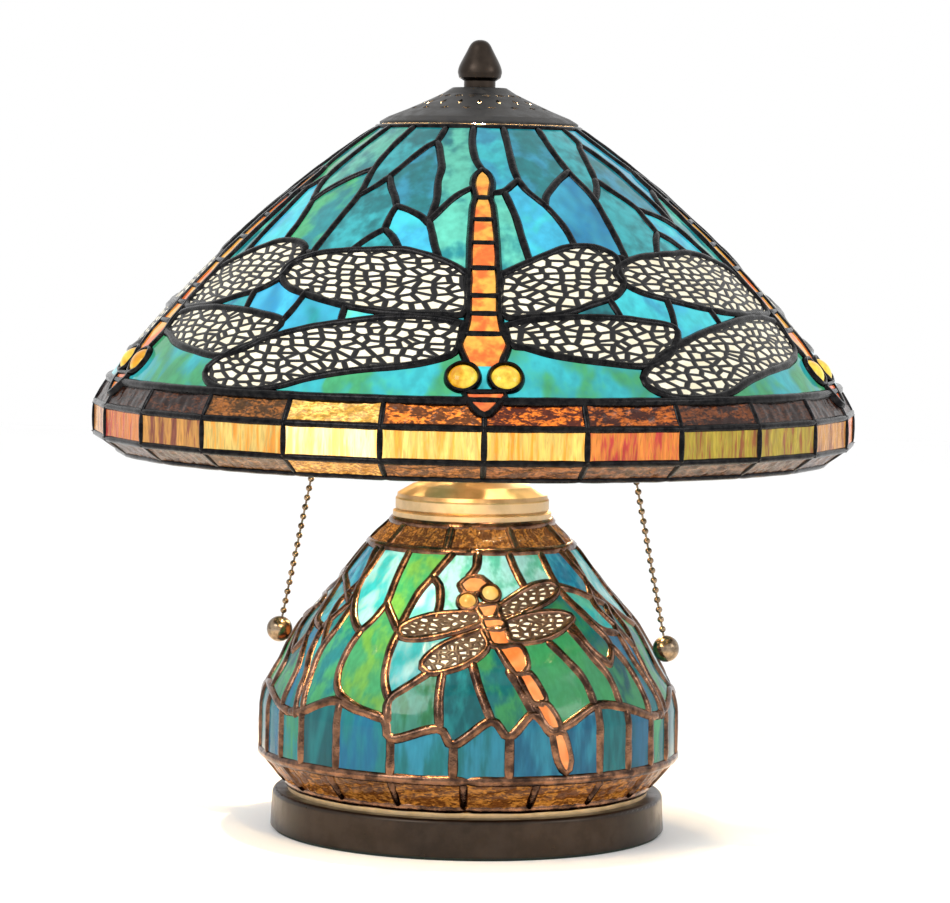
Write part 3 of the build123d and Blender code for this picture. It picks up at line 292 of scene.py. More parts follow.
# ---------------------------------------------------------------- mesh helpers
class Batch:
    """Collects many small shapes, with a colour and a second colour for each point, into one mesh."""

    def __init__(self):
        self.points, self.faces, self.tints, self.seconds, self.uvs = [], [], [], [], []
        self.count = 0

    def add(self, points, faces, tint=(1, 1, 1), second=(1, 1, 1), uv=None):
        """Takes a shape whose faces are one array, or a list of arrays with different corner counts."""
        points = np.asarray(points, float).reshape(-1, 3)
        self.points.append(points)
        for group in faces if isinstance(faces, list) else [faces]:
            self.faces.extend((np.atleast_2d(group) + self.count).tolist())
        self.tints.append(np.broadcast_to(np.asarray(tint, float), (len(points), 3)))
        self.seconds.append(np.broadcast_to(np.asarray(second, float), (len(points), 3)))
        self.uvs.append(np.zeros((len(points), 2)) if uv is None else np.asarray(uv, float).reshape(-1, 2))
        self.count += len(points)

    def build(self, name, material):
        """Makes the mesh object, with edges over the sharp angle kept crisp."""
        points = np.vstack(self.points)
        mesh = bpy.data.meshes.new(name)
        mesh.from_pydata(points.tolist(), [], self.faces)
        for label, rows in (("tint", self.tints), ("second", self.seconds)):
            colours = np.ones((len(points), 4))
            colours[:, :3] = np.vstack(rows)
            layer = mesh.color_attributes.new(label, "FLOAT_COLOR", "POINT")
            layer.data.foreach_set("color", colours.ravel())
        corner = np.empty(len(mesh.loops), np.int64)
        mesh.loops.foreach_get("vertex_index", corner)
        mesh.uv_layers.new(name="grain").data.foreach_set("uv", np.vstack(self.uvs)[corner].ravel())
        mesh.materials.append(material)
        mesh.update()
        mesh.shade_smooth()
        mesh.set_sharp_from_angle(angle=np.radians(SHARP_ANGLE))
        piece = bpy.data.objects.new(name, mesh)
        bpy.context.scene.collection.objects.link(piece)
        return piece


def grid_faces(rows, columns, wrap_rows=False, wrap_columns=False, flip=False):
    """Quads of a grid of points, joined up where it wraps."""
    i = np.arange(rows if wrap_rows else rows - 1)
    j = np.arange(columns if wrap_columns else columns - 1)
    i, j = np.meshgrid(i, j, indexing="ij")
    a, b = i * columns + j, ((i + 1) % rows) * columns + j
    c, d = ((i + 1) % rows) * columns + (j + 1) % columns, i * columns + (j + 1) % columns
    quads = np.stack([a, b, c, d], -1).reshape(-1, 4)
    return quads[:, ::-1] if flip else quads


def slab(outer, inner):
    """Closed plate between two grids of points of the same shape; its edge joins their borders."""
    rows, columns = outer.shape[:2]
    index = np.arange(rows * columns).reshape(rows, columns)
    border = np.concatenate([index[0, :-1], index[:-1, -1], index[-1, :0:-1], index[:0:-1, 0]])
    shift = rows * columns
    following = np.roll(border, -1)
    edge = np.stack([border, border + shift, following + shift, following], -1)
    faces = np.vstack([grid_faces(rows, columns), grid_faces(rows, columns, flip=True) + shift, edge])
    return np.concatenate([outer.reshape(-1, 3), inner.reshape(-1, 3)]), faces


SHARE_AT_END, SHARE_BESIDE_END = 0.72, 0.95  # how a bead narrows at its last two rings
END_REACH, END_GAP = 1.4, 2.0  # how far a bead runs on past its line, and where it may not
STRAIGHT_REACH = 1.2
def tube(line, across, out, width, height, sides=10, lump=0.06, seed=0):
    """Oval tube round a line of points: width across the line, height along out, closed round ends."""
    count = len(line)
    rng = np.random.default_rng(seed)
    along = np.arange(count)
    wave = sum(np.sin(along * rng.uniform(0.35, 1.6) + rng.uniform(0, 6.3)) for _ in range(3)) / 3
    swell = 1 + lump * wave
    end = np.minimum(along, count - 1 - along)
    swell = swell * np.where(end == 0, SHARE_AT_END, np.where(end == 1, SHARE_BESIDE_END, 1.0))
    angle = np.linspace(0, 2 * np.pi, sides, endpoint=False)
    ring = (across[:, None] * (np.cos(angle) * width / 2)[None, :, None]
            + out[:, None] * (np.sin(angle) * height / 2)[None, :, None])
    points = line[:, None] + ring * swell[:, None, None] * MM
    faces = grid_faces(count, sides, wrap_columns=True)
    caps = np.array([np.arange(sides), np.arange(count * sides - 1, (count - 1) * sides - 1, -1)])
    return points.reshape(-1, 3), [faces, caps]


def lengthened(line, reach, low, high):
    """The line run on by reach at each end whose second coordinate lies between low and high."""
    first, last = line[0] - line[1], line[-1] - line[-2]
    rows = [line]
    if low < line[0, 1] < high:
        rows.insert(0, (line[0] + first / np.linalg.norm(first) * reach)[None])
    if low < line[-1, 1] < high:
        rows.append((line[-1] + last / np.linalg.norm(last) * reach)[None])
    return np.vstack(rows)


def lead_bead(batch, surface, line, width=3.3, height=5.6, lift=-1.5, seed=0, step=2.6):
    """Solder bead along a line of (turn, girth) points on a turned face."""
    scale = float(np.mean(surface.radius(np.asarray(line)[:, 1]))) * np.pi / 180
    flat = smooth([(turn * scale, girth) for turn, girth in line], step)
    flat = lengthened(flat, END_REACH, END_GAP, surface.girth[-1] - END_GAP)
    turn, girth = flat[:, 0] / scale, flat[:, 1]
    centre = surface.at(turn, girth, lift)
    out = surface.out(turn, girth)
    heading = np.gradient(centre, axis=0)
    across = np.cross(heading, out)
    across /= np.linalg.norm(across, axis=1)[:, None] + 1e-12
    points, faces = tube(centre, across, out, width, height, seed=seed)
    batch.add(points, faces)


def straight_bead(batch, start, end, out, width=3.3, height=5.6, seed=0, step=3.0):
    """Solder bead between two points in metres; out is the glass's outward direction."""
    start, end = np.asarray(start, float), np.asarray(end, float)
    count = max(4, int(np.linalg.norm(end - start) / MM / step) + 1)
    reach = (end - start) / np.linalg.norm(end - start) * STRAIGHT_REACH * MM
    start, end = start - reach, end + reach
    line = start + (end - start) * np.linspace(0, 1, count)[:, None]
    out = np.broadcast_to(np.asarray(out, float) / np.linalg.norm(out), line.shape)
    across = np.cross(np.broadcast_to(end - start, line.shape), out)
    across /= np.linalg.norm(across, axis=1)[:, None]
    points, faces = tube(line, across, out, width, height, seed=seed)
    batch.add(points, faces)


# ---------------------------------------------------------------- glass colours
TEAL, CYAN, SKY = (0.010, 0.20, 0.22), (0.035, 0.43, 0.47), (0.03, 0.30, 0.44)
BLUE, MINT, GREEN = (0.01, 0.16, 0.30), (0.10, 0.48, 0.36), (0.05, 0.33, 0.14)
DEEP, PALE, LEAF = (0.004, 0.10, 0.12), (0.30, 0.66, 0.66), (0.05, 0.36, 0.13)
LEAF_PAIRS = [(TEAL, GREEN), (CYAN, SKY), (SKY, TEAL), (CYAN, GREEN), (TEAL, CYAN), (SKY, CYAN),
              (TEAL, MINT), (BLUE, CYAN)]
# Painted glass of the front: place, main colour, streak colour, and brightness.
FRONT_GLASS = [(-29, 15, TEAL, CYAN, 1.1), (-12, 20, TEAL, GREEN, 1.3), (4, 20, SKY, CYAN, 1.1),
               (21, 20, SKY, CYAN, 1.0), (-35, 35, TEAL, CYAN, 0.9), (-22, 35, DEEP, TEAL, 0.9),
               (-9, 42, TEAL, MINT, 1.1), (-34, 75, CYAN, GREEN, 1.1), (-27, 65, TEAL, CYAN, 0.9),
               (-19, 55, TEAL, SKY, 0.9), (-18, 78, CYAN, SKY, 1.5), (-26, 90, TEAL, CYAN, 1.1),
               (-6, 75, TEAL, MINT, 1.2), (5.5, 75, TEAL, MINT, 1.2), (14, 75, CYAN, SKY, 1.5),
               (26, 70, SKY, BLUE, 1.25), (20, 35, TEAL, SKY, 1.0), (8, 45, SKY, CYAN, 1.1),
               (-41, 130, MINT, CYAN, 1.4), (-30, 132, CYAN, SKY, 1.5), (-21, 131, MINT, CYAN, 1.4),
               (20, 128, DEEP, TEAL, 1.0), (30, 125, SKY, BLUE, 1.6), (43, 130, BLUE, DEEP, 1.3),
               (-13, 168, CYAN, GREEN, 1.0), (14, 165, CYAN, GREEN, 1.0), (-20, 172, CYAN, GREEN, 1.0)]


MOST_PASSES = 4000


def label_regions(surface, lines, start, stop, turns, rows, half_width=1.05):
    """Numbers the regions that the lead lines enclose, on a grid of turn and girth.

    Cells near a line are marked first. Every other cell then takes the lowest number among itself and
    its neighbours again and again, so a region ends with one number, and the marked cells are filled last.
    """
    turn = -180 + 360 * (np.arange(turns) + 0.5) / turns
    girth = start + (stop - start) * (np.arange(rows) + 0.5) / rows
    marked = np.zeros((turns, rows), bool)
    for line in lines:
        scale = float(np.mean(surface.radius(np.asarray(line)[:, 1]))) * np.pi / 180
        flat = smooth([(t * scale, g) for t, g in line], 0.7)
        centre, reach = flat[:, :1] / scale, half_width / scale
        low = np.floor((centre - reach + 180) / 360 * turns).astype(int)
        high = np.ceil((centre + reach + 180) / 360 * turns).astype(int)
        column = low + np.arange((high - low).max())
        near = np.abs(girth - flat[:, 1:]) < half_width
        point, step, row = np.nonzero((column < high)[:, :, None] & near[:, None, :])
        marked[column[point, step] % turns, row] = True
    label = np.arange(1, turns * rows + 1).reshape(turns, rows)
    label[marked] = 0
    big = turns * rows + 1
    for _ in range(MOST_PASSES):
        work = np.where(marked, big, label)
        best = np.minimum(np.minimum(np.roll(work, 1, 0), np.roll(work, -1, 0)), work)
        best[:, 1:] = np.minimum(best[:, 1:], work[:, :-1])
        best[:, :-1] = np.minimum(best[:, :-1], work[:, 1:])
        best[marked] = 0
        if np.array_equal(best, label):
            break
        label = best
    while (label == 0).any():
        grown = label.copy()
        for axis, step in ((0, 1), (0, -1), (1, 1), (1, -1)):
            moved = np.roll(label, step, axis)
            if axis == 1:
                moved[:, 0 if step == 1 else -1] = 0
            grown = np.where(grown == 0, moved, grown)
        label = grown
    return turn, girth, label


def inside(outline, turn, girth):
    """Whether points lie inside a closed outline, by counting crossings."""
    hit = np.zeros(np.broadcast(turn, girth).shape, bool)
    points = list(outline)
    for (t0, g0), (t1, g1) in zip(points, points[1:] + points[:1]):
        if g0 == g1:
            continue
        crosses = (g0 > girth) != (g1 > girth)
        hit ^= crosses & (turn < (t1 - t0) * (girth - g0) / (g1 - g0) + t0)
    return hit


def closed(outline):
    """The outline with its first point again at its end."""
    return list(outline) + list(outline[:1])


def flat_line(surface, line, step=1.5):
    """Smoothed (turn, girth) points of a lead line."""
    scale = float(np.mean(surface.radius(np.asarray(line)[:, 1]))) * np.pi / 180
    flat = smooth([(turn * scale, girth) for turn, girth in line], step)
    return np.stack([flat[:, 0] / scale, flat[:, 1]], -1)


def shifted(line, turn):
    """The line moved round by a turn."""
    return [(t + turn, g) for t, g in line]


BULB_PLACES = np.array([(-29, -103, 213), (29, 103, 213)], float) * MM
NIGHT_PLACE = np.array([(-38, -60, 112), (38, 60, 112)], float) * MM


def glow_at(points, places, reach, base, gain):
    """How brightly glass is lit from behind: a base plus a bell curve of the distance to the nearest lamp."""
    gap = np.min([np.linalg.norm(points - place, axis=-1) for place in places], axis=0)
    return base + gain * np.exp(-(gap / (reach * MM)) ** 2)


def cell_plate(surface, turn0, turn_step, girth0, girth_step, mask, tints, seconds, lift, depth, wrap):
    """Closed plate over the marked cells of a grid of turn and girth, as (points, faces, tint, second, uv).

    Marked cells get an outer and an inner face; wherever a neighbour isn't marked, a wall joins the two.
    """
    turns, rows = mask.shape
    edge_t = turns if wrap else turns + 1
    i, j = np.meshgrid(np.arange(edge_t), np.arange(rows + 1), indexing="ij")
    turn, girth = turn0 + i * turn_step, girth0 + j * girth_step
    outer, inner = surface.at(turn, girth, lift), surface.at(turn, girth, lift - depth)
    cell_i, cell_j = np.minimum(i, turns - 1), np.minimum(j, rows - 1)
    tint, second = tints[cell_i, cell_j].reshape(-1, 3), seconds[cell_i, cell_j].reshape(-1, 3)
    uv = np.stack([np.radians(turn) * surface.radius(girth), girth], -1).reshape(-1, 2)
    width, shift = rows + 1, edge_t * (rows + 1)
    ci, cj = np.nonzero(mask)
    following = (ci + 1) % edge_t
    a, b = ci * width + cj, ci * width + cj + 1
    c, d = following * width + cj + 1, following * width + cj
    faces = [np.stack([a, b, c, d], -1), np.stack([d, c, b, a], -1) + shift]
    left = np.roll(mask, 1, 0)
    right = np.roll(mask, -1, 0)
    if not wrap:
        left[0], right[-1] = False, False
    above, below = np.zeros_like(mask), np.zeros_like(mask)
    above[:, 1:], below[:, :-1] = mask[:, :-1], mask[:, 1:]
    for beside, start, end in ((left, b, a), (right, d, c), (above, a, d), (below, c, b)):
        bare = ~beside[ci, cj]
        s, e = start[bare], end[bare]
        faces.append(np.stack([s, e, e + shift, s + shift], -1))
    faces = np.vstack(faces)
    used, faces = np.unique(faces, return_inverse=True)
    points = np.concatenate([outer.reshape(-1, 3), inner.reshape(-1, 3)])
    return (points[used], faces.reshape(-1, 4), np.concatenate([tint, tint])[used],
            np.concatenate([second, second])[used], np.concatenate([uv, uv])[used])


def patch(batch, surface, outline, offset, lift, depth, tint, second, step=1.0, glow=None):
    """Closed plate inside one outline of (turn, girth) points."""
    edge = flat_line(surface, closed(outline))
    low, high = edge.min(0), edge.max(0)
    turn_step = step / (float(surface.radius((low[1] + high[1]) / 2)) * np.pi / 180)
    turns, rows = int((high[0] - low[0]) / turn_step) + 1, int((high[1] - low[1]) / step) + 1
    i, j = np.meshgrid(np.arange(turns) + 0.5, np.arange(rows) + 0.5, indexing="ij")
    mask = inside([tuple(p) for p in edge], low[0] + i * turn_step, low[1] + j * step)
    flat = np.ones(mask.shape + (3,))
    points, faces, tints, seconds, uv = cell_plate(
        surface, low[0] + offset, turn_step, low[1], step, mask,
        flat * np.asarray(tint), flat * np.asarray(second), lift, depth, False)
    uv[:, 0] -= np.radians(offset) * surface.radius(uv[:, 1])
    if glow is not None:
        bright = glow(points)[:, None]
        tints, seconds = tints * bright, seconds * bright
    batch.add(points, faces, tints, seconds, uv)


def facing(out):
    """The outward direction at length one, and two directions across it."""
    out = np.asarray(out, float) / np.linalg.norm(out)
    side = np.cross((0, 0, 1), out)
    side /= np.linalg.norm(side)
    return out, side, np.cross(out, side)


def cabochon(batch, centre, out, radius, rise, tint, second):
    """Round domed gem: rings of a flattened half ball, closed by its flat back."""
    out, side, up = facing(out)
    rise_angle = np.linspace(0, np.pi / 2 - 0.06, 9)
    angle = np.linspace(0, 2 * np.pi, 28, endpoint=False)
    ring = side * np.cos(angle)[:, None] + up * np.sin(angle)[:, None]
    flat, tall = np.cos(rise_angle)[:, None, None], np.sin(rise_angle)[:, None, None]
    rows = (flat * radius * ring[None] + tall * rise * out) * MM
    points = np.vstack([rows.reshape(-1, 3) + centre, centre + out * rise * MM])
    sides, corner = len(angle), np.arange(len(angle))
    last = (len(rise_angle) - 1) * sides
    tip = np.stack([last + corner, last + (corner + 1) % sides, np.full(sides, len(points) - 1)], -1)
    faces = [grid_faces(len(rise_angle), sides, wrap_columns=True, flip=True), tip, corner[::-1]]
    batch.add(points, faces, tint, second)


def ring_bead(batch, centre, out, radius, width, height, seed=0):
    """Round bead of solder about a gem: a closed torus of oval section."""
    out, side, up = facing(out)
    angle = np.linspace(0, 2 * np.pi, 36, endpoint=False)
    around = np.linspace(0, 2 * np.pi, 10, endpoint=False)
    rng = np.random.default_rng(seed)
    swell = 1 + 0.06 * np.sin(angle * 3 + rng.uniform(0, 6)) + 0.04 * np.sin(angle * 7 + rng.uniform(0, 6))
    spoke = side * np.cos(angle)[:, None] + up * np.sin(angle)[:, None]
    points = (spoke[:, None] * (radius + swell[:, None] * np.cos(around) * width / 2)[..., None]
              + out * (swell[:, None] * np.sin(around) * height / 2)[..., None]) * MM + centre
    faces = grid_faces(len(angle), len(around), wrap_rows=True, wrap_columns=True)
    batch.add(points.reshape(-1, 3), faces)


def tile(batch, corners, out, ripple, thick, tint, second, seed=0, columns=26, rows=12):
    """Flat pane between four corners (top left, bottom left, bottom right, top right), rippled outside.

    The outer face adds three crossing sine waves along the pane to the plane through the corners.
    """
    top_left, foot_left, foot_right, top_right = [np.asarray(corner, float) for corner in corners]
    u, v = np.linspace(0, 1, columns)[:, None, None], np.linspace(0, 1, rows)[None, :, None]
    plane = (top_left * (1 - u) * (1 - v) + foot_left * (1 - u) * v
             + foot_right * u * v + top_right * u * (1 - v))
    rng = np.random.default_rng(seed)
    a, b, c = rng.uniform(0, 6.3, 3)
    width = np.linalg.norm(top_right - top_left) / MM
    height = np.linalg.norm(foot_left - top_left) / MM
    x, y = u[..., 0] * width, v[..., 0] * height
    wave = (np.sin(x * 1.1 + 0.8 * np.sin(y * 0.5 + a)) + 0.7 * np.sin(x * 0.63 + y * 0.35 + b)
            + 0.6 * np.sin(y * 0.9 + x * 0.2 + c)) / 2.3
    fade = np.minimum(1, 6 * np.minimum(np.minimum(u, 1 - u), np.minimum(v, 1 - v)))[..., 0]
    out = np.asarray(out, float) / np.linalg.norm(out)
    outer = plane + out * (ripple * wave * fade)[..., None] * MM
    points, faces = slab(outer, plane - out * thick * MM)
    uv = np.stack([x + 0 * y + seed * 37.0, y + 0 * x], -1).reshape(-1, 2)
    batch.add(points, faces, tint, second, np.concatenate([uv, uv]))


# ---------------------------------------------------------------- materials
class Value:
    """A socket that takes part in sums: + - and * make maths nodes."""

    def __init__(self, maker, socket):
        self.maker, self.socket = maker, socket

    def maths(self, kind, other):
        return self.maker.node("ShaderNodeMath", {"operation": kind}, {0: self, 1: other})

    def __add__(self, other):
        return self.maths("ADD", other)

    def __sub__(self, other):
        return self.maths("SUBTRACT", other)

    def __mul__(self, other):
        return self.maths("MULTIPLY", other)

    def between(self, low, high, start=0.0, end=1.0):
        """Smooth step from start to end as the value goes from low to high."""
        ends = {"From Min": low, "From Max": high, "To Min": start, "To Max": end}
        return self.maker.node("ShaderNodeMapRange", {"interpolation_type": "SMOOTHSTEP"},
                               {"Value": self, **ends})


class Maker:
    def __init__(self, name):
        self.material = bpy.data.materials.new(name)
        self.material.use_nodes = True
        self.tree = self.material.node_tree
        self.tree.nodes.clear()

    def node(self, kind, settings=None, inputs=None, out=0):
        made = self.tree.nodes.new(kind)
        for key, value in (settings or {}).items():
            setattr(made, key, value)
        for key, value in (inputs or {}).items():
            socket = made.inputs[key]
            if isinstance(value, Value):
                self.tree.links.new(value.socket, socket)
            else:
                socket.default_value = value
        return Value(self, made.outputs[out]) if len(made.outputs) else None

    def place(self, scale=(1, 1, 1)):
        """Object coordinates in centimetres, stretched by scale."""
        spot = self.node("ShaderNodeTexCoord", out="Object")
        return self.node("ShaderNodeMapping", None, {"Vector": spot, "Scale": tuple(100 * s for s in scale)})

    def noise(self, where, scale, detail=3.0, roughness=0.5, bend=0.0):
        return self.node("ShaderNodeTexNoise", None, {"Vector": where, "Scale": scale, "Detail": detail,
                                                      "Roughness": roughness, "Distortion": bend})

    def attribute(self, name):
        return self.node("ShaderNodeAttribute", {"attribute_name": name}, out="Color")

    def mix(self, share, first, second):
        mixer = self.tree.nodes.new("ShaderNodeMix")
        mixer.data_type = "RGBA"
        for socket, value in zip((mixer.inputs[0], mixer.inputs[6], mixer.inputs[7]), (share, first, second)):
            if isinstance(value, Value):
                self.tree.links.new(value.socket, socket)
            else:
                socket.default_value = value if np.isscalar(value) else (*value, 1.0)
        return Value(self, mixer.outputs[2])

    def scaled(self, colour, share):
        """The colour times a number."""
        return self.node("ShaderNodeVectorMath", {"operation": "SCALE"}, {0: colour, "Scale": share})

    def bump(self, height, strength, distance):
        inputs = {"Strength": strength, "Distance": distance, "Height": height}
        return self.node("ShaderNodeBump", None, inputs)

    def finish(self, **inputs):
        names = {key.replace("_", " "): value for key, value in inputs.items()}
        surface = self.node("ShaderNodeBsdfPrincipled", None, names)
        self.node("ShaderNodeOutputMaterial", None, {"Surface": surface})
        return self.material


METAL_RELIEF, GLASS_RELIEF = 0.0006, 0.0008
def metal(name, light, dark, rough, grain, bump, metallic=1.0):
    """Metal whose tone and polish drift between two colours, with a light hammered surface."""
    maker = Maker(name)
    where = maker.place()
    cloud = maker.noise(where, grain, 4.0, 0.6)
    fine = maker.noise(where, grain * 7, 2.0)
    tone = maker.mix(cloud.between(0.35, 0.65), dark, light)
    return maker.finish(Base_Color=tone, Metallic=metallic,
                        Roughness=cloud.between(0.3, 0.7, rough * 0.8, rough * 1.3),
                        Normal=maker.bump(cloud + fine * 0.4, bump, METAL_RELIEF))


def lit_glass(maker, share, shimmer, roughness, height, body, strength, bump):
    """Glass that gives off its own colour: the pane's colour runs into its second colour by share."""
    colour = maker.mix(share, maker.attribute("tint"), maker.attribute("second"))
    return maker.finish(Base_Color=maker.scaled(colour, body), Roughness=roughness,
                        Emission_Color=maker.scaled(colour, shimmer), Emission_Strength=strength,
                        Specular_IOR_Level=0.32, Normal=maker.bump(height, bump, GLASS_RELIEF))


def streaked_glass(name, stretch, streak, body, strength, bump=0.12):
    """Opalescent glass: the pane's colour runs into its streak colour along stretched noise."""
    maker = Maker(name)
    where = maker.place(stretch)
    run = maker.noise(where, streak, 1.6, 0.45, 0.5)
    fine = maker.noise(where, streak * 3.6, 2.0, 0.5)
    return lit_glass(maker, (run + (fine - 0.5) * 0.25).between(0.38, 0.62),
                     fine.between(0.25, 0.8, 0.8, 1.25), run.between(0.3, 0.7, 0.06, 0.16),
                     run + fine * 0.3, body, strength, bump)


def rippled_glass(name, body, strength, stretch=(0.11, 0.22, 1.0)):
    """Amber ripple glass: bright and dark lines run along the pane's ripples."""
    maker = Maker(name)
    where = maker.node("ShaderNodeUVMap", {"uv_map": "grain"})
    where = maker.node("ShaderNodeMapping", None, {"Vector": where, "Scale": stretch})
    run = maker.noise(where, 1.0, 3.0, 0.6, 0.8)
    fine = maker.noise(where, 4.0, 3.0, 0.6, 0.5)
    return lit_glass(maker, (run + (fine - 0.5) * 0.6).between(0.44, 0.64),
                     fine.between(0.3, 0.75, 0.6, 1.4), fine.between(0.3, 0.7, 0.07, 0.2),
                     fine + run, body, strength, 0.2)


def filigree_glass(name, cell, strength, web=(0.012, 0.011, 0.011), gap=0.165):
    """Cream cells in a black web, after the edges of a Voronoi pattern in the pane's own millimetres."""
    maker = Maker(name)
    where = maker.node("ShaderNodeUVMap", {"uv_map": "grain"})
    scale = (1 / (1.9 * cell), 1 / cell, 1.0)
    where = maker.node("ShaderNodeMapping", None, {"Vector": where, "Scale": scale})
    edge = maker.node("ShaderNodeTexVoronoi", {"feature": "DISTANCE_TO_EDGE", "voronoi_dimensions": "2D"},
                      {"Vector": where, "Scale": 1.0, "Randomness": 0.8})
    cloud = maker.noise(maker.place(), 1.6, 3.0)
    cream = maker.mix(cloud.between(0.35, 0.65), maker.attribute("tint"), maker.attribute("second"))
    open_cell = edge.between(gap, gap + 0.08)
    colour = maker.mix(open_cell, web, cream)
    web_height = edge.between(0.04, 0.3) * -1.0 + 1.0
    return maker.finish(Base_Color=maker.scaled(colour, 0.75), Roughness=cloud.between(0.3, 0.7, 0.18, 0.34),
                        Emission_Color=maker.scaled(colour, open_cell), Emission_Strength=strength,
                        Specular_IOR_Level=0.3, Normal=maker.bump(web_height, 0.5, GLASS_RELIEF))


PREFIX = "lamp_"
# Light tone, dark tone, roughness, grain, bump, and how metallic where that isn't full.
PLAIN_FINISHES = {
    "black_solder": ((0.022, 0.021, 0.021), (0.008, 0.008, 0.009), 0.20, 3.0, 0.35),
    "copper_solder": ((0.24, 0.125, 0.075), (0.050, 0.028, 0.020), 0.16, 1.5, 0.5),
    "bronze": ((0.050, 0.038, 0.030), (0.034, 0.026, 0.021), 0.34, 0.8, 0.05),
    "charcoal": ((0.060, 0.056, 0.052), (0.028, 0.026, 0.025), 0.42, 1.8, 0.15, 0.8),
    "brass": ((0.76, 0.56, 0.32), (0.60, 0.42, 0.22), 0.40, 0.9, 0.05),
    "antique_brass": ((0.36, 0.27, 0.18), (0.16, 0.115, 0.075), 0.2, 3.0, 0.1),
    "steel": ((0.62, 0.62, 0.61), (0.44, 0.44, 0.43), 0.3, 2.0, 0.05),
    "rubber": ((0.03, 0.03, 0.03), (0.015, 0.015, 0.015), 0.6, 3.0, 0.1, 0.0),
    "felt": ((0.03, 0.045, 0.032), (0.014, 0.022, 0.016), 0.9, 6.0, 0.8, 0.0),
    "bulb_glass": ((1.0, 0.86, 0.62), (0.95, 0.76, 0.48), 0.2, 1.0, 0.0, 0.0),
}
BULB_POWER = 4.0


def lamp_materials():
    """Every finish of the lamp by name, made once."""
    made = {item.name[len(PREFIX):]: item for item in bpy.data.materials if item.name.startswith(PREFIX)}
    if made:
        return made
    glow = bpy.context.scene.lamp.glow
    made = {name: metal(PREFIX + name, *values) for name, values in PLAIN_FINISHES.items()}
    made.update({
        "leaf_glass": streaked_glass("lamp_leaf_glass", (1.0, 1.0, 0.35), 0.60, 0.28, glow * 1.9),
        "base_glass": streaked_glass("lamp_base_glass", (1.0, 1.0, 0.22), 1.1, 0.34, glow * 0.85, 0.25),
        "band_glass": rippled_glass("lamp_band_glass", 0.20, glow * 1.35, (0.20, 0.022, 1.0)),
        "ripple_glass": rippled_glass("lamp_ripple_glass", 0.08, glow * 1.25),
        "cream_glass": filigree_glass("lamp_cream_glass", 3.9, glow * 1.15),
        "wing_dots": filigree_glass("lamp_wing_dots", 2.5, glow * 0.9, (0.075, 0.045, 0.028), 0.27),
        "orange_glass": streaked_glass("lamp_orange_glass", (1.0, 1.0, 1.0), 0.9, 0.30, glow * 1.2),
    })
    bulb = made["bulb_glass"].node_tree
    principled = next(node for node in bulb.nodes if node.type == "BSDF_PRINCIPLED")
    principled.inputs["Emission Strength"].default_value = BULB_POWER
    bulb.links.new(principled.inputs["Base Color"].links[0].from_socket, principled.inputs["Emission Color"])
    return made


NODE_FINISH = {"shade_cap": "charcoal", "finial": "bronze"}


def settle(batch, name, finish, body_name, slot_name, *replaced):
    """Builds a piece, hangs it on its body, and hides the frame nodes it stands for. The slot name is not
    used.
    """
    piece = batch.build(name, lamp_materials()[finish])
    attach(piece, body_name)
    if replaced:
        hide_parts(*replaced)


def settle_set(batch, name, k, finish, body_name, slot_name, *replaced):
    """Settles one piece of a numbered set; the first one stands for the frame nodes."""
    settle(batch, f"{name}_{k + 1}", finish, body_name, slot_name, *(replaced if k == 0 else ()))


# ---------------------------------------------------------------- building the groups
def paint(turn, girth, label, painted, repeats, pairs, seed):
    """A colour pair for every cell: the painted places first, then seeded choices for the rest."""
    rng = np.random.default_rng(seed)
    numbers, inverse = np.unique(label, return_inverse=True)
    inverse = inverse.reshape(label.shape)
    choice = rng.integers(0, len(pairs), len(numbers))
    mains = np.array([pair[0] for pair in pairs])[choice] * rng.uniform(0.8, 1.3, (len(numbers), 1))
    streaks = np.array([pair[1] for pair in pairs])[choice] * rng.uniform(0.8, 1.3, (len(numbers), 1))
    step = 360 / len(turn)
    for k in range(repeats):
        for t, g, main, streak, bright in painted:
            if k and rng.random() < 0.4:
                main, streak = pairs[rng.integers(0, len(pairs))]
            i = int((t + k * 360 / repeats + 180) / step) % len(turn)
            j = int(np.clip(np.searchsorted(girth, g), 0, len(girth) - 1))
            region = inverse[i, j]
            mains[region] = np.asarray(main) * bright
            streaks[region] = np.asarray(streak) * bright
    return mains[inverse], streaks[inverse]


def wing_glow(points):
    """Light behind the wings and bodies of the shade."""
    return glow_at(points, BULB_PLACES, 80, 0.8, 0.5)


def leaf_batches(surface, repeats, span, grid, front, lines, outlines, glass, glow, lift, depth, half_width):
    """Leaf glass over a span of girth as one batch for each repeat, left open where the outlines lie.

    glass is the painted places, the colour pairs and the seed; glow is what glow_at takes after its points.
    """
    (start, stop), (turns, rows) = span, grid
    turn, girth, label = label_regions(surface, lines, start, stop, turns, rows, half_width)
    painted, pairs, seed = glass
    tints, seconds = paint(turn, girth, label, painted, repeats, pairs, seed)
    grid_t, grid_g = np.meshgrid(turn, girth, indexing="ij")
    covered = np.zeros(label.shape, bool)
    for outline in outlines:
        covered |= inside([tuple(p) for p in outline], grid_t, grid_g)
    part = turns // repeats
    covered = np.any([np.roll(covered, k * part, 0) for k in range(repeats)], axis=0)
    bright = glow_at(surface.at(grid_t + front, grid_g), *glow)[..., None]
    batches = []
    for k in range(repeats):
        mask = np.zeros_like(covered)
        mask[k * part:(k + 1) * part] = ~covered[k * part:(k + 1) * part]
        batch = Batch()
        batch.add(*cell_plate(surface, -180 + front, 360 / turns, start, (stop - start) / rows, mask,
                              tints * bright, seconds * bright, lift, depth, True))
        batches.append(batch)
    return batches


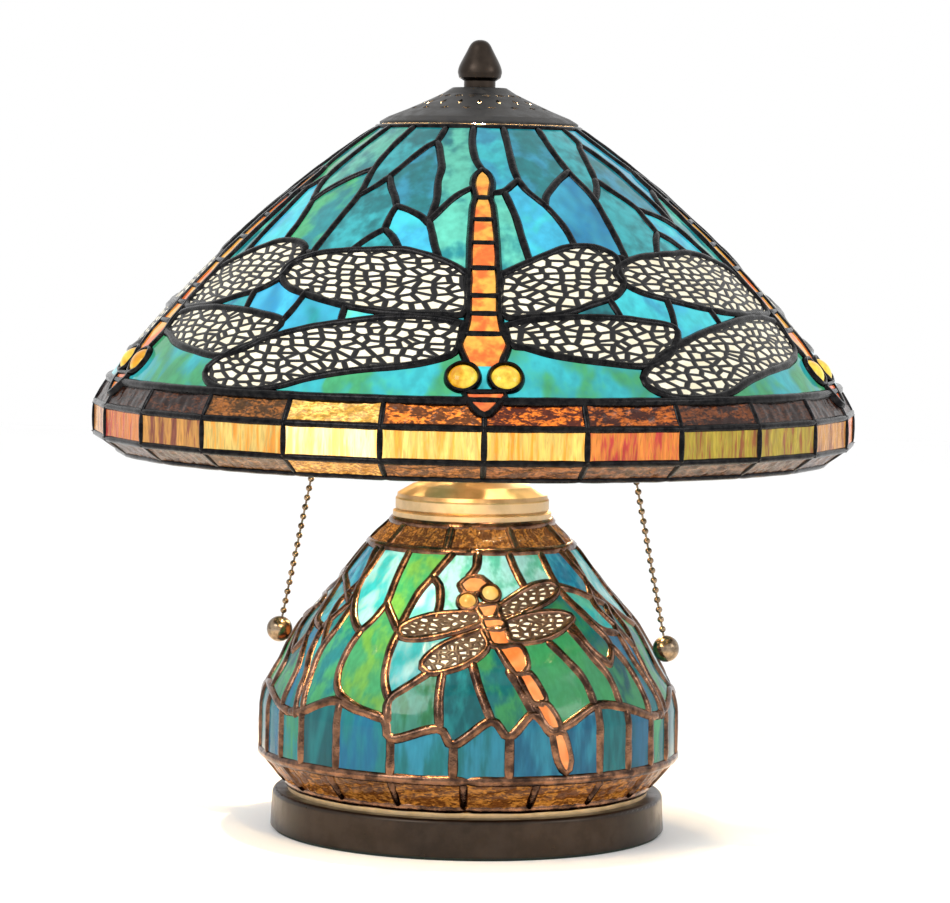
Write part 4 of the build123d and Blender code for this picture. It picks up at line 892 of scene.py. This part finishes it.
# Colour and second colour of the small glass.
SHADE_CREAM = ((0.86, 0.80, 0.62), (0.74, 0.66, 0.47))
SHADE_ORANGE = ((1.0, 0.19, 0.03), (1.0, 0.50, 0.07))
CHIN_ORANGE = ((0.9, 0.16, 0.04), (1.0, 0.30, 0.06))
SHADE_GEM = ((0.80, 0.34, 0.01), (1.0, 0.72, 0.08))
BASE_CREAM = ((0.80, 0.78, 0.66), (0.62, 0.60, 0.50))
BASE_ORANGE = ((0.95, 0.36, 0.12), (0.85, 0.22, 0.05))
BASE_GEM = ((0.90, 0.62, 0.20), (0.75, 0.40, 0.08))
STRIP_AMBER = ((0.16, 0.050, 0.010), (0.50, 0.19, 0.03))


def build_shade_glass():
    """Leaf glass in five fifths, the filigree wings, the dragonflies' bodies, and the gems."""
    stencil = [flat_line(dome, closed(outline)) for outline in WINGS]
    trunk = BODY_SIDE + [(-turn, girth) for turn, girth in reversed(BODY_SIDE)]
    eye_ring = np.linspace(0, 2 * np.pi, 14)
    lines = []
    for k in range(DRAGONFLIES):
        shift = FIFTH * k
        lines += [shifted(line, shift) for line in LEAF_LINES + body_sides()]
        lines += [shifted(list(map(tuple, edge)), shift) for edge in stencil]
        lines.append(shifted(closed(CHIN), shift))
        lines += [[(t + shift + EYE_R * 0.9 / EYE_SCALE * np.cos(a), EYE_GIRTH + EYE_R * np.sin(a))
                   for a in eye_ring] for t in (-EYE_TURN, EYE_TURN)]
    batches = leaf_batches(dome, DRAGONFLIES, (0.0, AMBER_TOP), SHADE_GRID, FRONT_TURN, lines,
                           stencil + [np.array(trunk)], (FRONT_GLASS, LEAF_PAIRS, 7),
                           (BULB_PLACES, 78, 0.62, 0.75), 0.0, WALL, SHADE_HALF_LINE)
    for k, batch in enumerate(batches):
        settle_set(batch, "shade_leaf_panes", k, "leaf_glass", "shade", "leaf_glass", "shade_leaf_glass")
    for k in range(DRAGONFLIES):
        offset = FRONT_TURN + FIFTH * k
        wings, trunks = Batch(), Batch()
        for outline in WINGS:
            patch(wings, dome, outline, offset, WING_LIFT, WALL, *SHADE_CREAM, glow=wing_glow)
        patch(trunks, dome, trunk, offset, TRUNK_LIFT, WALL, *SHADE_ORANGE, 0.6, wing_glow)
        patch(trunks, dome, CHIN, offset, CHIN_LIFT, WALL, *CHIN_ORANGE, 0.6, wing_glow)
        settle_set(wings, "shade_wing_panes", k, "cream_glass", "shade", "cream_glass", "shade_wings")
        settle_set(trunks, "shade_dragonfly_body", k, "orange_glass", "shade", "orange_glass", "shade_bodies")
    gems = Batch()
    for k in range(DRAGONFLIES):
        for t in (-EYE_TURN, EYE_TURN):
            turn = FRONT_TURN + FIFTH * k + t
            centre, out = dome.at(turn, EYE_GIRTH, -0.6), dome.out(turn, EYE_GIRTH)
            cabochon(gems, centre, out, EYE_R - 0.7, EYE_RISE, *SHADE_GEM)
    settle(gems, "shade_eye_gems", "orange_glass", "shade", "amber_gem", "shade_gems")


def rim_corner(k):
    """Turn of a rim corner."""
    return FRONT_TURN + 360.0 / RIM_TILES * k


def at(turn, radius, height):
    """A point in metres from its turn, radius and height in millimetres."""
    turn = np.radians(turn)
    return np.array([radius * np.sin(turn), -radius * np.cos(turn), height]) * MM


# Painted light: turns of the bright spots and of the wider lit stretches that the two bulbs paint into the
# rim panes' colours.
LIT_SPOT_TURNS, LIT_STRETCH_TURNS = (-20, 160), (-2, 178)


def painted_bulb_light(turn):
    """Painted light on a rim pane: a bright spot painted before each bulb, and a wider lit stretch painted
    about it.
    """
    def gap(places):
        return min(abs((turn - place + 180) % 360 - 180) for place in places)
    return np.exp(-(gap(LIT_SPOT_TURNS) / 9.0) ** 2), np.exp(-(gap(LIT_STRETCH_TURNS) / 26.0) ** 2)


BAND_TINTS = [((1.00, 0.66, 0.15), (0.95, 0.34, 0.03)), ((0.62, 0.46, 0.05), (0.34, 0.11, 0.03)),
              ((0.90, 0.42, 0.09), (0.30, 0.08, 0.04)), ((0.95, 0.30, 0.05), (0.55, 0.05, 0.04))]
# The front panes of the band, from the seventh left of the front corner to the seventh right of it.
BAND_ORDER = [2, 2, 3, 2, 0, 0, 0, 0, 3, 1, 1, 2, 3, 2]


# Each row's colour and second colour, as a ground, what the painted light of the lit stretch adds and what
# the painted bright spot before a bulb adds.
RIM_TINTS_AND_LIGHT = {
    "amber": (((0.020, 0.006, 0.003), (0.14, 0.016, 0.001), (0.9, 0.5, 0.06)),
              ((0.060, 0.018, 0.006), (1.60, 0.36, 0.02), (0.9, 0.8, 0.2))),
    "skirt": (((0.060, 0.026, 0.012), (0.10, 0.03, 0.006), (0.6, 0.25, 0.03)),
              ((0.16, 0.070, 0.030), (0.40, 0.12, 0.02), (0.9, 0.5, 0.1))),
}
RIM_INSET = 1.7  # how far the band's flat panes stay inside the rim
BEAD_INSET = 1.2  # how far the rim's beads stay inside the panes' corners


def build_shade_rim():
    """Amber row, band and skirt: flat rippled panes between the rim's corners, and their straight leads."""
    rows = {"amber": Batch(), "band": Batch(), "skirt": Batch()}
    leads = Batch()
    rng = np.random.default_rng(11)
    top = dome.at(0, AMBER_TOP)[1] / -MM, dome.at(0, AMBER_TOP)[2] / MM
    levels = [top, (RIM_R - RIM_INSET, RIM_TOP_Z), (RIM_R - RIM_INSET, BAND_FOOT_Z),
              (SKIRT_FOOT_R, SKIRT_FOOT_Z + 2.6)]
    for k in range(RIM_TILES):
        left, right = rim_corner(k), rim_corner(k + 1)
        # Painted light: how much of the bulbs' bright spot and lit stretch is painted into this pane's
        # colours.
        spot_light, stretch_light = painted_bulb_light((left + right) / 2)
        corner = [(at(left, *level), at(right, *level)) for level in levels]
        tints = {key: [np.dot((1, stretch_light, spot_light), shades) for shades in pair] for key, pair in RIM_TINTS_AND_LIGHT.items()}
        place = (k + 7) % RIM_TILES
        pick = BAND_ORDER[place] if place < len(BAND_ORDER) else int(rng.integers(0, len(BAND_TINTS)))
        main, streak = BAND_TINTS[pick]
        # The band's colours carry painted light too: brightened with the lit stretch, with the bright spot
        # added.
        power = 0.75 + 0.45 * stretch_light
        tints["band"] = (np.array(main) * power + spot_light * np.array((1.0, 0.9, 0.55)),
                         np.array(streak) * power + spot_light * np.array((1.0, 0.75, 0.25)))
        for number, (name, batch) in enumerate(rows.items()):
            (a, d), (b, c) = corner[number], corner[number + 1]
            ripple = 0.25 if name == "band" else 0.5
            out = np.cross(b - a, d - a)
            tile(batch, (a, b, c, d), out, ripple, WALL, *tints[name], seed=k + 40 * number)
        for number, ((radius, height), width) in enumerate(zip(levels[1:], (3.6, 3.4, 3.4))):
            start, end = at(left, radius - BEAD_INSET, height), at(right, radius - BEAD_INSET, height)
            straight_bead(leads, start, end, (start + end) * (1, 1, 0), width, 4.6, seed=k + 90 * number)
        for number, (upper, lower) in enumerate(zip(levels, levels[1:])):
            start, end = at(left, upper[0] - BEAD_INSET, upper[1]), at(left, lower[0] - BEAD_INSET, lower[1])
            straight_bead(leads, start, end, at(left, 1000, 0), 3.4, 4.8, seed=k + 70 * number)
    ring = [(turn, AMBER_TOP) for turn in np.linspace(0, 360, 76)]
    lead_bead(leads, dome, ring, 4.6, 5.8, -1.2, seed=3)
    finish = {"amber": "ripple_glass", "band": "band_glass", "skirt": "ripple_glass"}
    for key, batch in rows.items():
        settle(batch, f"shade_{key}_panes", finish[key], "shade", finish[key], f"shade_{key}_row")
    settle(leads, "shade_rim_leads", "black_solder", "shade", "black_solder")


def build_shade_lead():
    """Solder beads over the leaf lines, round the wings, and along each dragonfly's body."""
    size = bpy.context.scene.lamp
    wide, high = size.bead_width / MM, size.bead_height / MM
    # Each bead's line, share of the width, share of the height, and seed.
    beads = [(line, 1.0, 1.0, number) for number, line in enumerate(LEAF_LINES)]
    beads += [(closed(outline), 1.05, 1.0, 40 + number) for number, outline in enumerate(WINGS)]
    beads += [(line, 0.95, 1.12, 50 + number) for number, line in enumerate(body_sides())]
    beads.append((closed(CHIN), 0.8, 1.2, 70))
    for k in range(DRAGONFLIES):
        offset = FRONT_TURN + FIFTH * k
        batch = Batch()
        for line, wider, higher, number in beads:
            lead_bead(batch, dome, shifted(line, offset), wide * wider, high * higher, seed=k * 100 + number)
        for t in (-EYE_TURN, EYE_TURN):
            centre, out = dome.at(offset + t, EYE_GIRTH, -0.3), dome.out(offset + t, EYE_GIRTH)
            ring_bead(batch, centre, out, EYE_R, 2.4, high * 0.9, seed=k)
        settle_set(batch, "shade_leads", k, "black_solder", "shade", "black_solder", "shade_lead")
    edge = Batch()
    lead_bead(edge, dome, [(turn, EDGE_INSET) for turn in np.linspace(0, 360, 61)], 3.0, high, seed=5)
    settle(edge, "shade_top_lead", "black_solder", "shade", "black_solder")


LIME = (0.13, 0.38, 0.07)
BASE_PAIRS = [(TEAL, GREEN), (BLUE, TEAL), (TEAL, CYAN), (DEEP, TEAL), (GREEN, TEAL), (TEAL, SKY)]
# Painted glass of the body: place, main colour, streak colour, and brightness. The pale, bright panes at
# (-20, 46), (-8, 38) and (-8, 22) are a painted reflection: the glare of the bulbs on the body's upper front
# left.
BASE_GLASS_AND_GLARE = [(12, 27, TEAL, GREEN, 1.3), (31, 27, MINT, PALE, 1.0), (51, 30, BLUE, SKY, 1.1),
              (50, 52, CYAN, MINT, 1.1), (46, 62, GREEN, TEAL, 0.7), (20, 88, GREEN, LEAF, 0.8),
              (31, 90, LEAF, GREEN, 1.0), (41, 90, LEAF, GREEN, 1.0), (9, 92, TEAL, LEAF, 0.8),
              (-3, 97, DEEP, TEAL, 1.1), (-14, 100, GREEN, MINT, 0.55), (-18, 77, PALE, CYAN, 0.8),
              (-34, 80, GREEN, LIME, 0.9), (-47, 85, TEAL, GREEN, 1.0), (-46, 35, PALE, CYAN, 1.0),
              (-28, 32, LEAF, LIME, 1.1), (-20, 46, PALE, MINT, 1.7), (-8, 38, PALE, MINT, 1.7),
              (-8, 22, MINT, PALE, 1.2), (54, 95, GREEN, DEEP, 1.0), (62, 90, TEAL, BLUE, 1.0),
              (65, 65, GREEN, TEAL, 1.0), (-44, 122, TEAL, DEEP, 1.0), (-30, 122, BLUE, TEAL, 1.1),
              (-12, 125, TEAL, SKY, 1.0), (4, 122, TEAL, SKY, 0.9), (19, 122, TEAL, SKY, 0.9),
              (43, 118, DEEP, TEAL, 1.0), (54, 118, BLUE, DEEP, 1.0), (31, 120, BLUE, SKY, 0.9)]


def build_base_glass():
    """Glass body: amber band, leaf and belt panes, wings, dragonfly bodies and gems, and the foot skirt."""
    outlines = [flat_line(body, closed(outline)) for outline in BODY_WINGS + BODY_SEGMENTS]
    lines = []
    for k in range(BODY_DRAGONFLIES):
        lines += [shifted(line, THIRD * k) for line in base_lines()]
        lines += [shifted(list(map(tuple, edge)), THIRD * k) for edge in outlines]
    batches = leaf_batches(body, BODY_DRAGONFLIES, (TOP_BAND, BELT_STOP), BODY_GRID, 0.0, lines, outlines,
                           (BASE_GLASS_AND_GLARE, BASE_PAIRS, 19), (NIGHT_PLACE, 60, 0.75, 0.7),
                           BODY_SINK, BODY_WALL, BODY_HALF_LINE)
    for k, batch in enumerate(batches):
        settle_set(batch, "base_leaf_panes", k, "base_glass", "base", "leaf_glass",
                   "lantern_leaf_glass", "lantern_belt_glass")
    wings, trunks, gems, top_panes, skirt_panes = [Batch() for _ in range(5)]
    for k in range(BODY_DRAGONFLIES):
        turn = THIRD * k
        for outline in BODY_WINGS:
            patch(wings, body, outline, turn, BODY_WING_LIFT, BODY_WALL, *BASE_CREAM)
        for outline in BODY_SEGMENTS:
            patch(trunks, body, outline, turn, BODY_TRUNK_LIFT, BODY_WALL, *BASE_ORANGE, 0.7)
        for t, g in BODY_EYES:
            centre, out = body.at(t + turn, g, EYE_SINK_BODY), body.out(t + turn, g)
            cabochon(gems, centre, out, BODY_EYE_R - 0.5, BODY_EYE_RISE, *BASE_GEM)
    for k in range(TOP_PANES):
        amber_strip(top_panes, body, TOP_PANE_START, TOP_PANES, k, TOP_BAND, k)
    for k in range(SKIRT_PANES):
        amber_strip(skirt_panes, skirt, SKIRT_PANE_START, SKIRT_PANES, k, SKIRT_LENGTH, k + 30)
    settle(wings, "base_wing_panes", "wing_dots", "base", "cream_glass", "lantern_wings")
    settle(trunks, "base_dragonfly_bodies", "orange_glass", "base", "orange_glass", "lantern_bodies")
    settle(gems, "base_eye_gems", "orange_glass", "base", "amber_gem", "lantern_gems")
    settle(top_panes, "base_top_panes", "ripple_glass", "base", "ripple_glass", "lantern_top_glass")
    settle(skirt_panes, "base_skirt_panes", "ripple_glass", "base", "ripple_glass", "lantern_skirt_glass")


def amber_strip(batch, surface, first, count, k, foot, seed):
    """One curved pane of rippled amber glass, number k of a full round that starts at the first turn."""
    rng = np.random.default_rng(seed)
    width = 360 // count
    start = first + width * k
    turn, girth = np.linspace(start, start + width, 44)[:, None], np.linspace(0.6, foot, 16)[None, :]
    wave = np.sin(np.radians(turn) * 90 + rng.uniform(0, 6)) * 0.2 + np.sin(girth * 0.9 + turn * 0.3) * 0.15
    points, faces = slab(surface.at(turn, girth, wave + BODY_SINK), surface.at(turn, girth, -WALL + 0 * wave))
    uv = np.stack(np.broadcast_arrays(np.radians(turn) * 90 + 50 * seed, girth), -1).reshape(-1, 2)
    tint, second = np.array(STRIP_AMBER) * rng.uniform(0.7, 1.2)
    batch.add(points, faces, tint, second, np.concatenate([uv, uv]))


def base_lines():
    """Lead lines of a third of the glass body, with the belt's uprights."""
    shoulder_turn, shoulder_girth = np.array(SHOULDER_LINE).T
    tops = np.interp(BELT_TURNS, shoulder_turn, shoulder_girth)
    uprights = [[(turn, float(top)), (turn, BODY_GIRTH)] for turn, top in zip(BELT_TURNS, tops)]
    return BODY_LINES + [SHOULDER_LINE] + uprights


BASE_LIFT = -2.0  # how deep the body's beads sit, measured to their middle


def build_base_lead():
    """Raised copper-coloured solder over every seam of the glass body."""
    size = bpy.context.scene.lamp
    wide, high = size.bead_width / MM * 1.2, size.bead_height / MM
    # Each bead's line, share of the width, lift, and seed.
    beads = [(line, 1.0, BASE_LIFT, number) for number, line in enumerate(base_lines())]
    beads += [(closed(outline), 0.85, BASE_LIFT + 0.1, 50 + number)
              for number, outline in enumerate(BODY_WINGS + BODY_SEGMENTS)]
    for k in range(BODY_DRAGONFLIES):
        turn = THIRD * k
        batch = Batch()
        for line, wider, lift, number in beads:
            lead_bead(batch, body, shifted(line, turn), wide * wider, high, lift, seed=k * 100 + number)
        for t, g in BODY_EYES:
            centre, out = body.at(t + turn, g, EYE_SINK_BODY), body.out(t + turn, g)
            ring_bead(batch, centre, out, BODY_EYE_R, 2.2, 4.0, seed=k)
        settle_set(batch, "base_leads", k, "copper_solder", "base", "copper_solder", "lantern_lead")
    rings = Batch()
    foot = SKIRT_LENGTH - EDGE_INSET
    for girth, surface in ((EDGE_INSET, body), (TOP_BAND, body), (BODY_GIRTH - 0.2, body), (foot, skirt)):
        ring = [(turn, girth) for turn in np.linspace(0, 360, 61)]
        lead_bead(rings, surface, ring, wide, high, BASE_LIFT, seed=int(girth))
    for k in range(TOP_PANES):
        turn = TOP_PANE_START + 360 // TOP_PANES * k
        lead_bead(rings, body, [(turn, EDGE_INSET), (turn, TOP_BAND)], wide, high, BASE_LIFT, seed=k)
    for k in range(SKIRT_PANES):
        turn = SKIRT_PANE_START + 360 // SKIRT_PANES * k
        lead_bead(rings, skirt, [(turn, 0.5), (turn, foot)], wide * 0.9, high, BASE_LIFT, seed=k)
    settle(rings, "base_ring_leads", "copper_solder", "base", "copper_solder")


def finish_frame_nodes():
    """Gives every frame node that stays in view its own finish."""
    materials = lamp_materials()
    fallback = {"amber_gem": "orange_glass", "band_glass": "ripple_glass"}
    for name, node in frame["nodes"].items():
        for holder in node.material_slots:
            key = NODE_FINISH.get(name, holder.material.name.split(".")[0])
            holder.material = materials[fallback.get(key, key)]


WARM_LIGHT = (1.0, 0.70, 0.38)


def add_light(name, kind, place, power, **settings):
    """A light at a place, turned to the lamp's lower middle."""
    data = bpy.data.lights.new(name, kind)
    data.energy = power
    for key, value in settings.items():
        setattr(data, key, value)
    light = bpy.data.objects.new(name, data)
    light.location = place
    light.rotation_euler = (Vector((0, 0, 0.2)) - Vector(place)).to_track_quat("-Z", "Y").to_euler()
    bpy.context.scene.collection.objects.link(light)


def build_stage():
    """White floor, white surroundings, two soft lights, a light at each bulb, and the camera."""
    scene = bpy.context.scene
    for old in [o for o in bpy.data.objects if o.name in ("Cube", "Light", "Camera")]:
        bpy.data.objects.remove(old)
    maker = Maker("stage_floor")
    cloud = maker.noise(maker.place(), 0.05, 2.0)
    white = maker.mix(cloud, (0.97, 0.97, 0.97), (0.995, 0.995, 0.995))
    paper = maker.finish(Base_Color=white, Roughness=0.6)
    sheet = Batch()
    sheet.add([(-3, -3, 0), (3, -3, 0), (3, 3, 0), (-3, 3, 0)], np.arange(4))
    sheet.build("stage_floor", paper)
    world = bpy.data.worlds.new("white_room")
    world.use_nodes = True
    world.node_tree.nodes["Background"].inputs["Color"].default_value = (1, 1, 1, 1)
    world.node_tree.nodes["Background"].inputs["Strength"].default_value = scene.lamp.room
    scene.world = world
    add_light("window_light", "AREA", (-1.2, -1.4, 1.5), 14, size=0.9)
    add_light("side_light", "AREA", (1.6, -0.8, 1.0), 6, size=0.7)
    inner_lights = (((-0.022, 0.0, 0.344), 5.0, 0.004), ((0.022, 0.0, 0.344), 5.0, 0.004),
                    ((-0.045, -0.150, 0.206), 0.9, 0.022), ((0.045, 0.150, 0.206), 0.9, 0.022))
    for number, (place, power, size) in enumerate(inner_lights):
        add_light(f"bulb_light_{number}", "POINT", place, power, color=WARM_LIGHT, shadow_soft_size=size)
    data = bpy.data.cameras.new("camera")
    data.lens, data.sensor_width = 140.43, 36.0
    data.clip_start, data.clip_end = 0.05, 20.0
    camera = bpy.data.objects.new("camera", data)
    tilt, roll = Matrix.Rotation(np.radians(90 - 3.95), 4, "X"), Matrix.Rotation(np.radians(1.02), 4, "Z")
    camera.matrix_world = Matrix.Translation((0.00088, -1.7909, 0.3071)) @ tilt @ roll
    scene.collection.objects.link(camera)
    scene.camera = camera
    scene.view_settings.view_transform = "Standard"


# ---------------------------------------------------------------- add-on classes
class LampSizes(bpy.types.PropertyGroup):
    bead_width: bpy.props.FloatProperty(name="Bead width", description="Width of the shade's solder beads",
                                        default=0.0046, unit="LENGTH", subtype="DISTANCE")
    bead_height: bpy.props.FloatProperty(name="Bead height",
                                         description="Height of the solder beads through the glass",
                                         default=0.0060, unit="LENGTH", subtype="DISTANCE")
    glow: bpy.props.FloatProperty(name="Glow", description="Strength of the light coming through the glass",
                                  default=0.62, min=0.0, subtype="FACTOR")
    room: bpy.props.FloatProperty(name="Room light", description="Strength of the white surroundings",
                                  default=1.0, min=0.0, subtype="FACTOR")


class LampStep(bpy.types.Operator):
    """One step of building the lamp"""
    bl_idname = "lamp.step"
    bl_label = "Lamp step"
    build = None

    def execute(self, context):
        type(self).build()
        return {"FINISHED"}


class LampShadeGlass(LampStep):
    """Lays the shade's leaf glass, wings, dragonfly bodies and gems"""
    bl_idname = "lamp.shade_glass"
    bl_label = "Shade glass"
    build = staticmethod(build_shade_glass)


class LampShadeRim(LampStep):
    """Lays the amber row, the band and the skirt with their leads"""
    bl_idname = "lamp.shade_rim"
    bl_label = "Shade rim"
    build = staticmethod(build_shade_rim)


class LampShadeLead(LampStep):
    """Runs the solder over the shade's seams"""
    bl_idname = "lamp.shade_lead"
    bl_label = "Shade lead"
    build = staticmethod(build_shade_lead)


class LampBaseGlass(LampStep):
    """Lays the glass of the lamp's body"""
    bl_idname = "lamp.base_glass"
    bl_label = "Base glass"
    build = staticmethod(build_base_glass)


class LampBaseLead(LampStep):
    """Runs the solder over the body's seams"""
    bl_idname = "lamp.base_lead"
    bl_label = "Base lead"
    build = staticmethod(build_base_lead)


class LampMetal(LampStep):
    """Gives the frame's metal, felt, rubber and bulbs their finishes"""
    bl_idname = "lamp.metal"
    bl_label = "Metal finishes"
    build = staticmethod(finish_frame_nodes)


class LampStage(LampStep):
    """Sets the floor, lights and camera"""
    bl_idname = "lamp.stage"
    bl_label = "Stage"
    build = staticmethod(build_stage)


STEPS = (LampShadeGlass, LampShadeRim, LampShadeLead, LampBaseGlass, LampBaseLead, LampMetal, LampStage)


class LampPanel(bpy.types.Panel):
    """Sizes and steps of the lamp in the sidebar"""
    bl_idname = "VIEW3D_PT_lamp"
    bl_label = "Leaded Glass Lamp"
    bl_space_type = "VIEW_3D"
    bl_region_type = "UI"
    bl_category = "Lamp"

    def draw(self, context):
        for name in ("bead_width", "bead_height", "glow", "room"):
            self.layout.prop(context.scene.lamp, name)
        for step in STEPS:
            self.layout.operator(step.bl_idname)


CLASSES = (LampSizes, *STEPS, LampPanel)


def register():
    for item in CLASSES:
        bpy.utils.register_class(item)
    bpy.types.Scene.lamp = bpy.props.PointerProperty(type=LampSizes)


def unregister():
    del bpy.types.Scene.lamp
    for item in reversed(CLASSES):
        bpy.utils.unregister_class(item)


def main():
    register()
    for step in STEPS:
        group, name = step.bl_idname.split(".")
        getattr(getattr(bpy.ops, group), name)()
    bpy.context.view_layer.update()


if __name__ == "__main__":
    main()
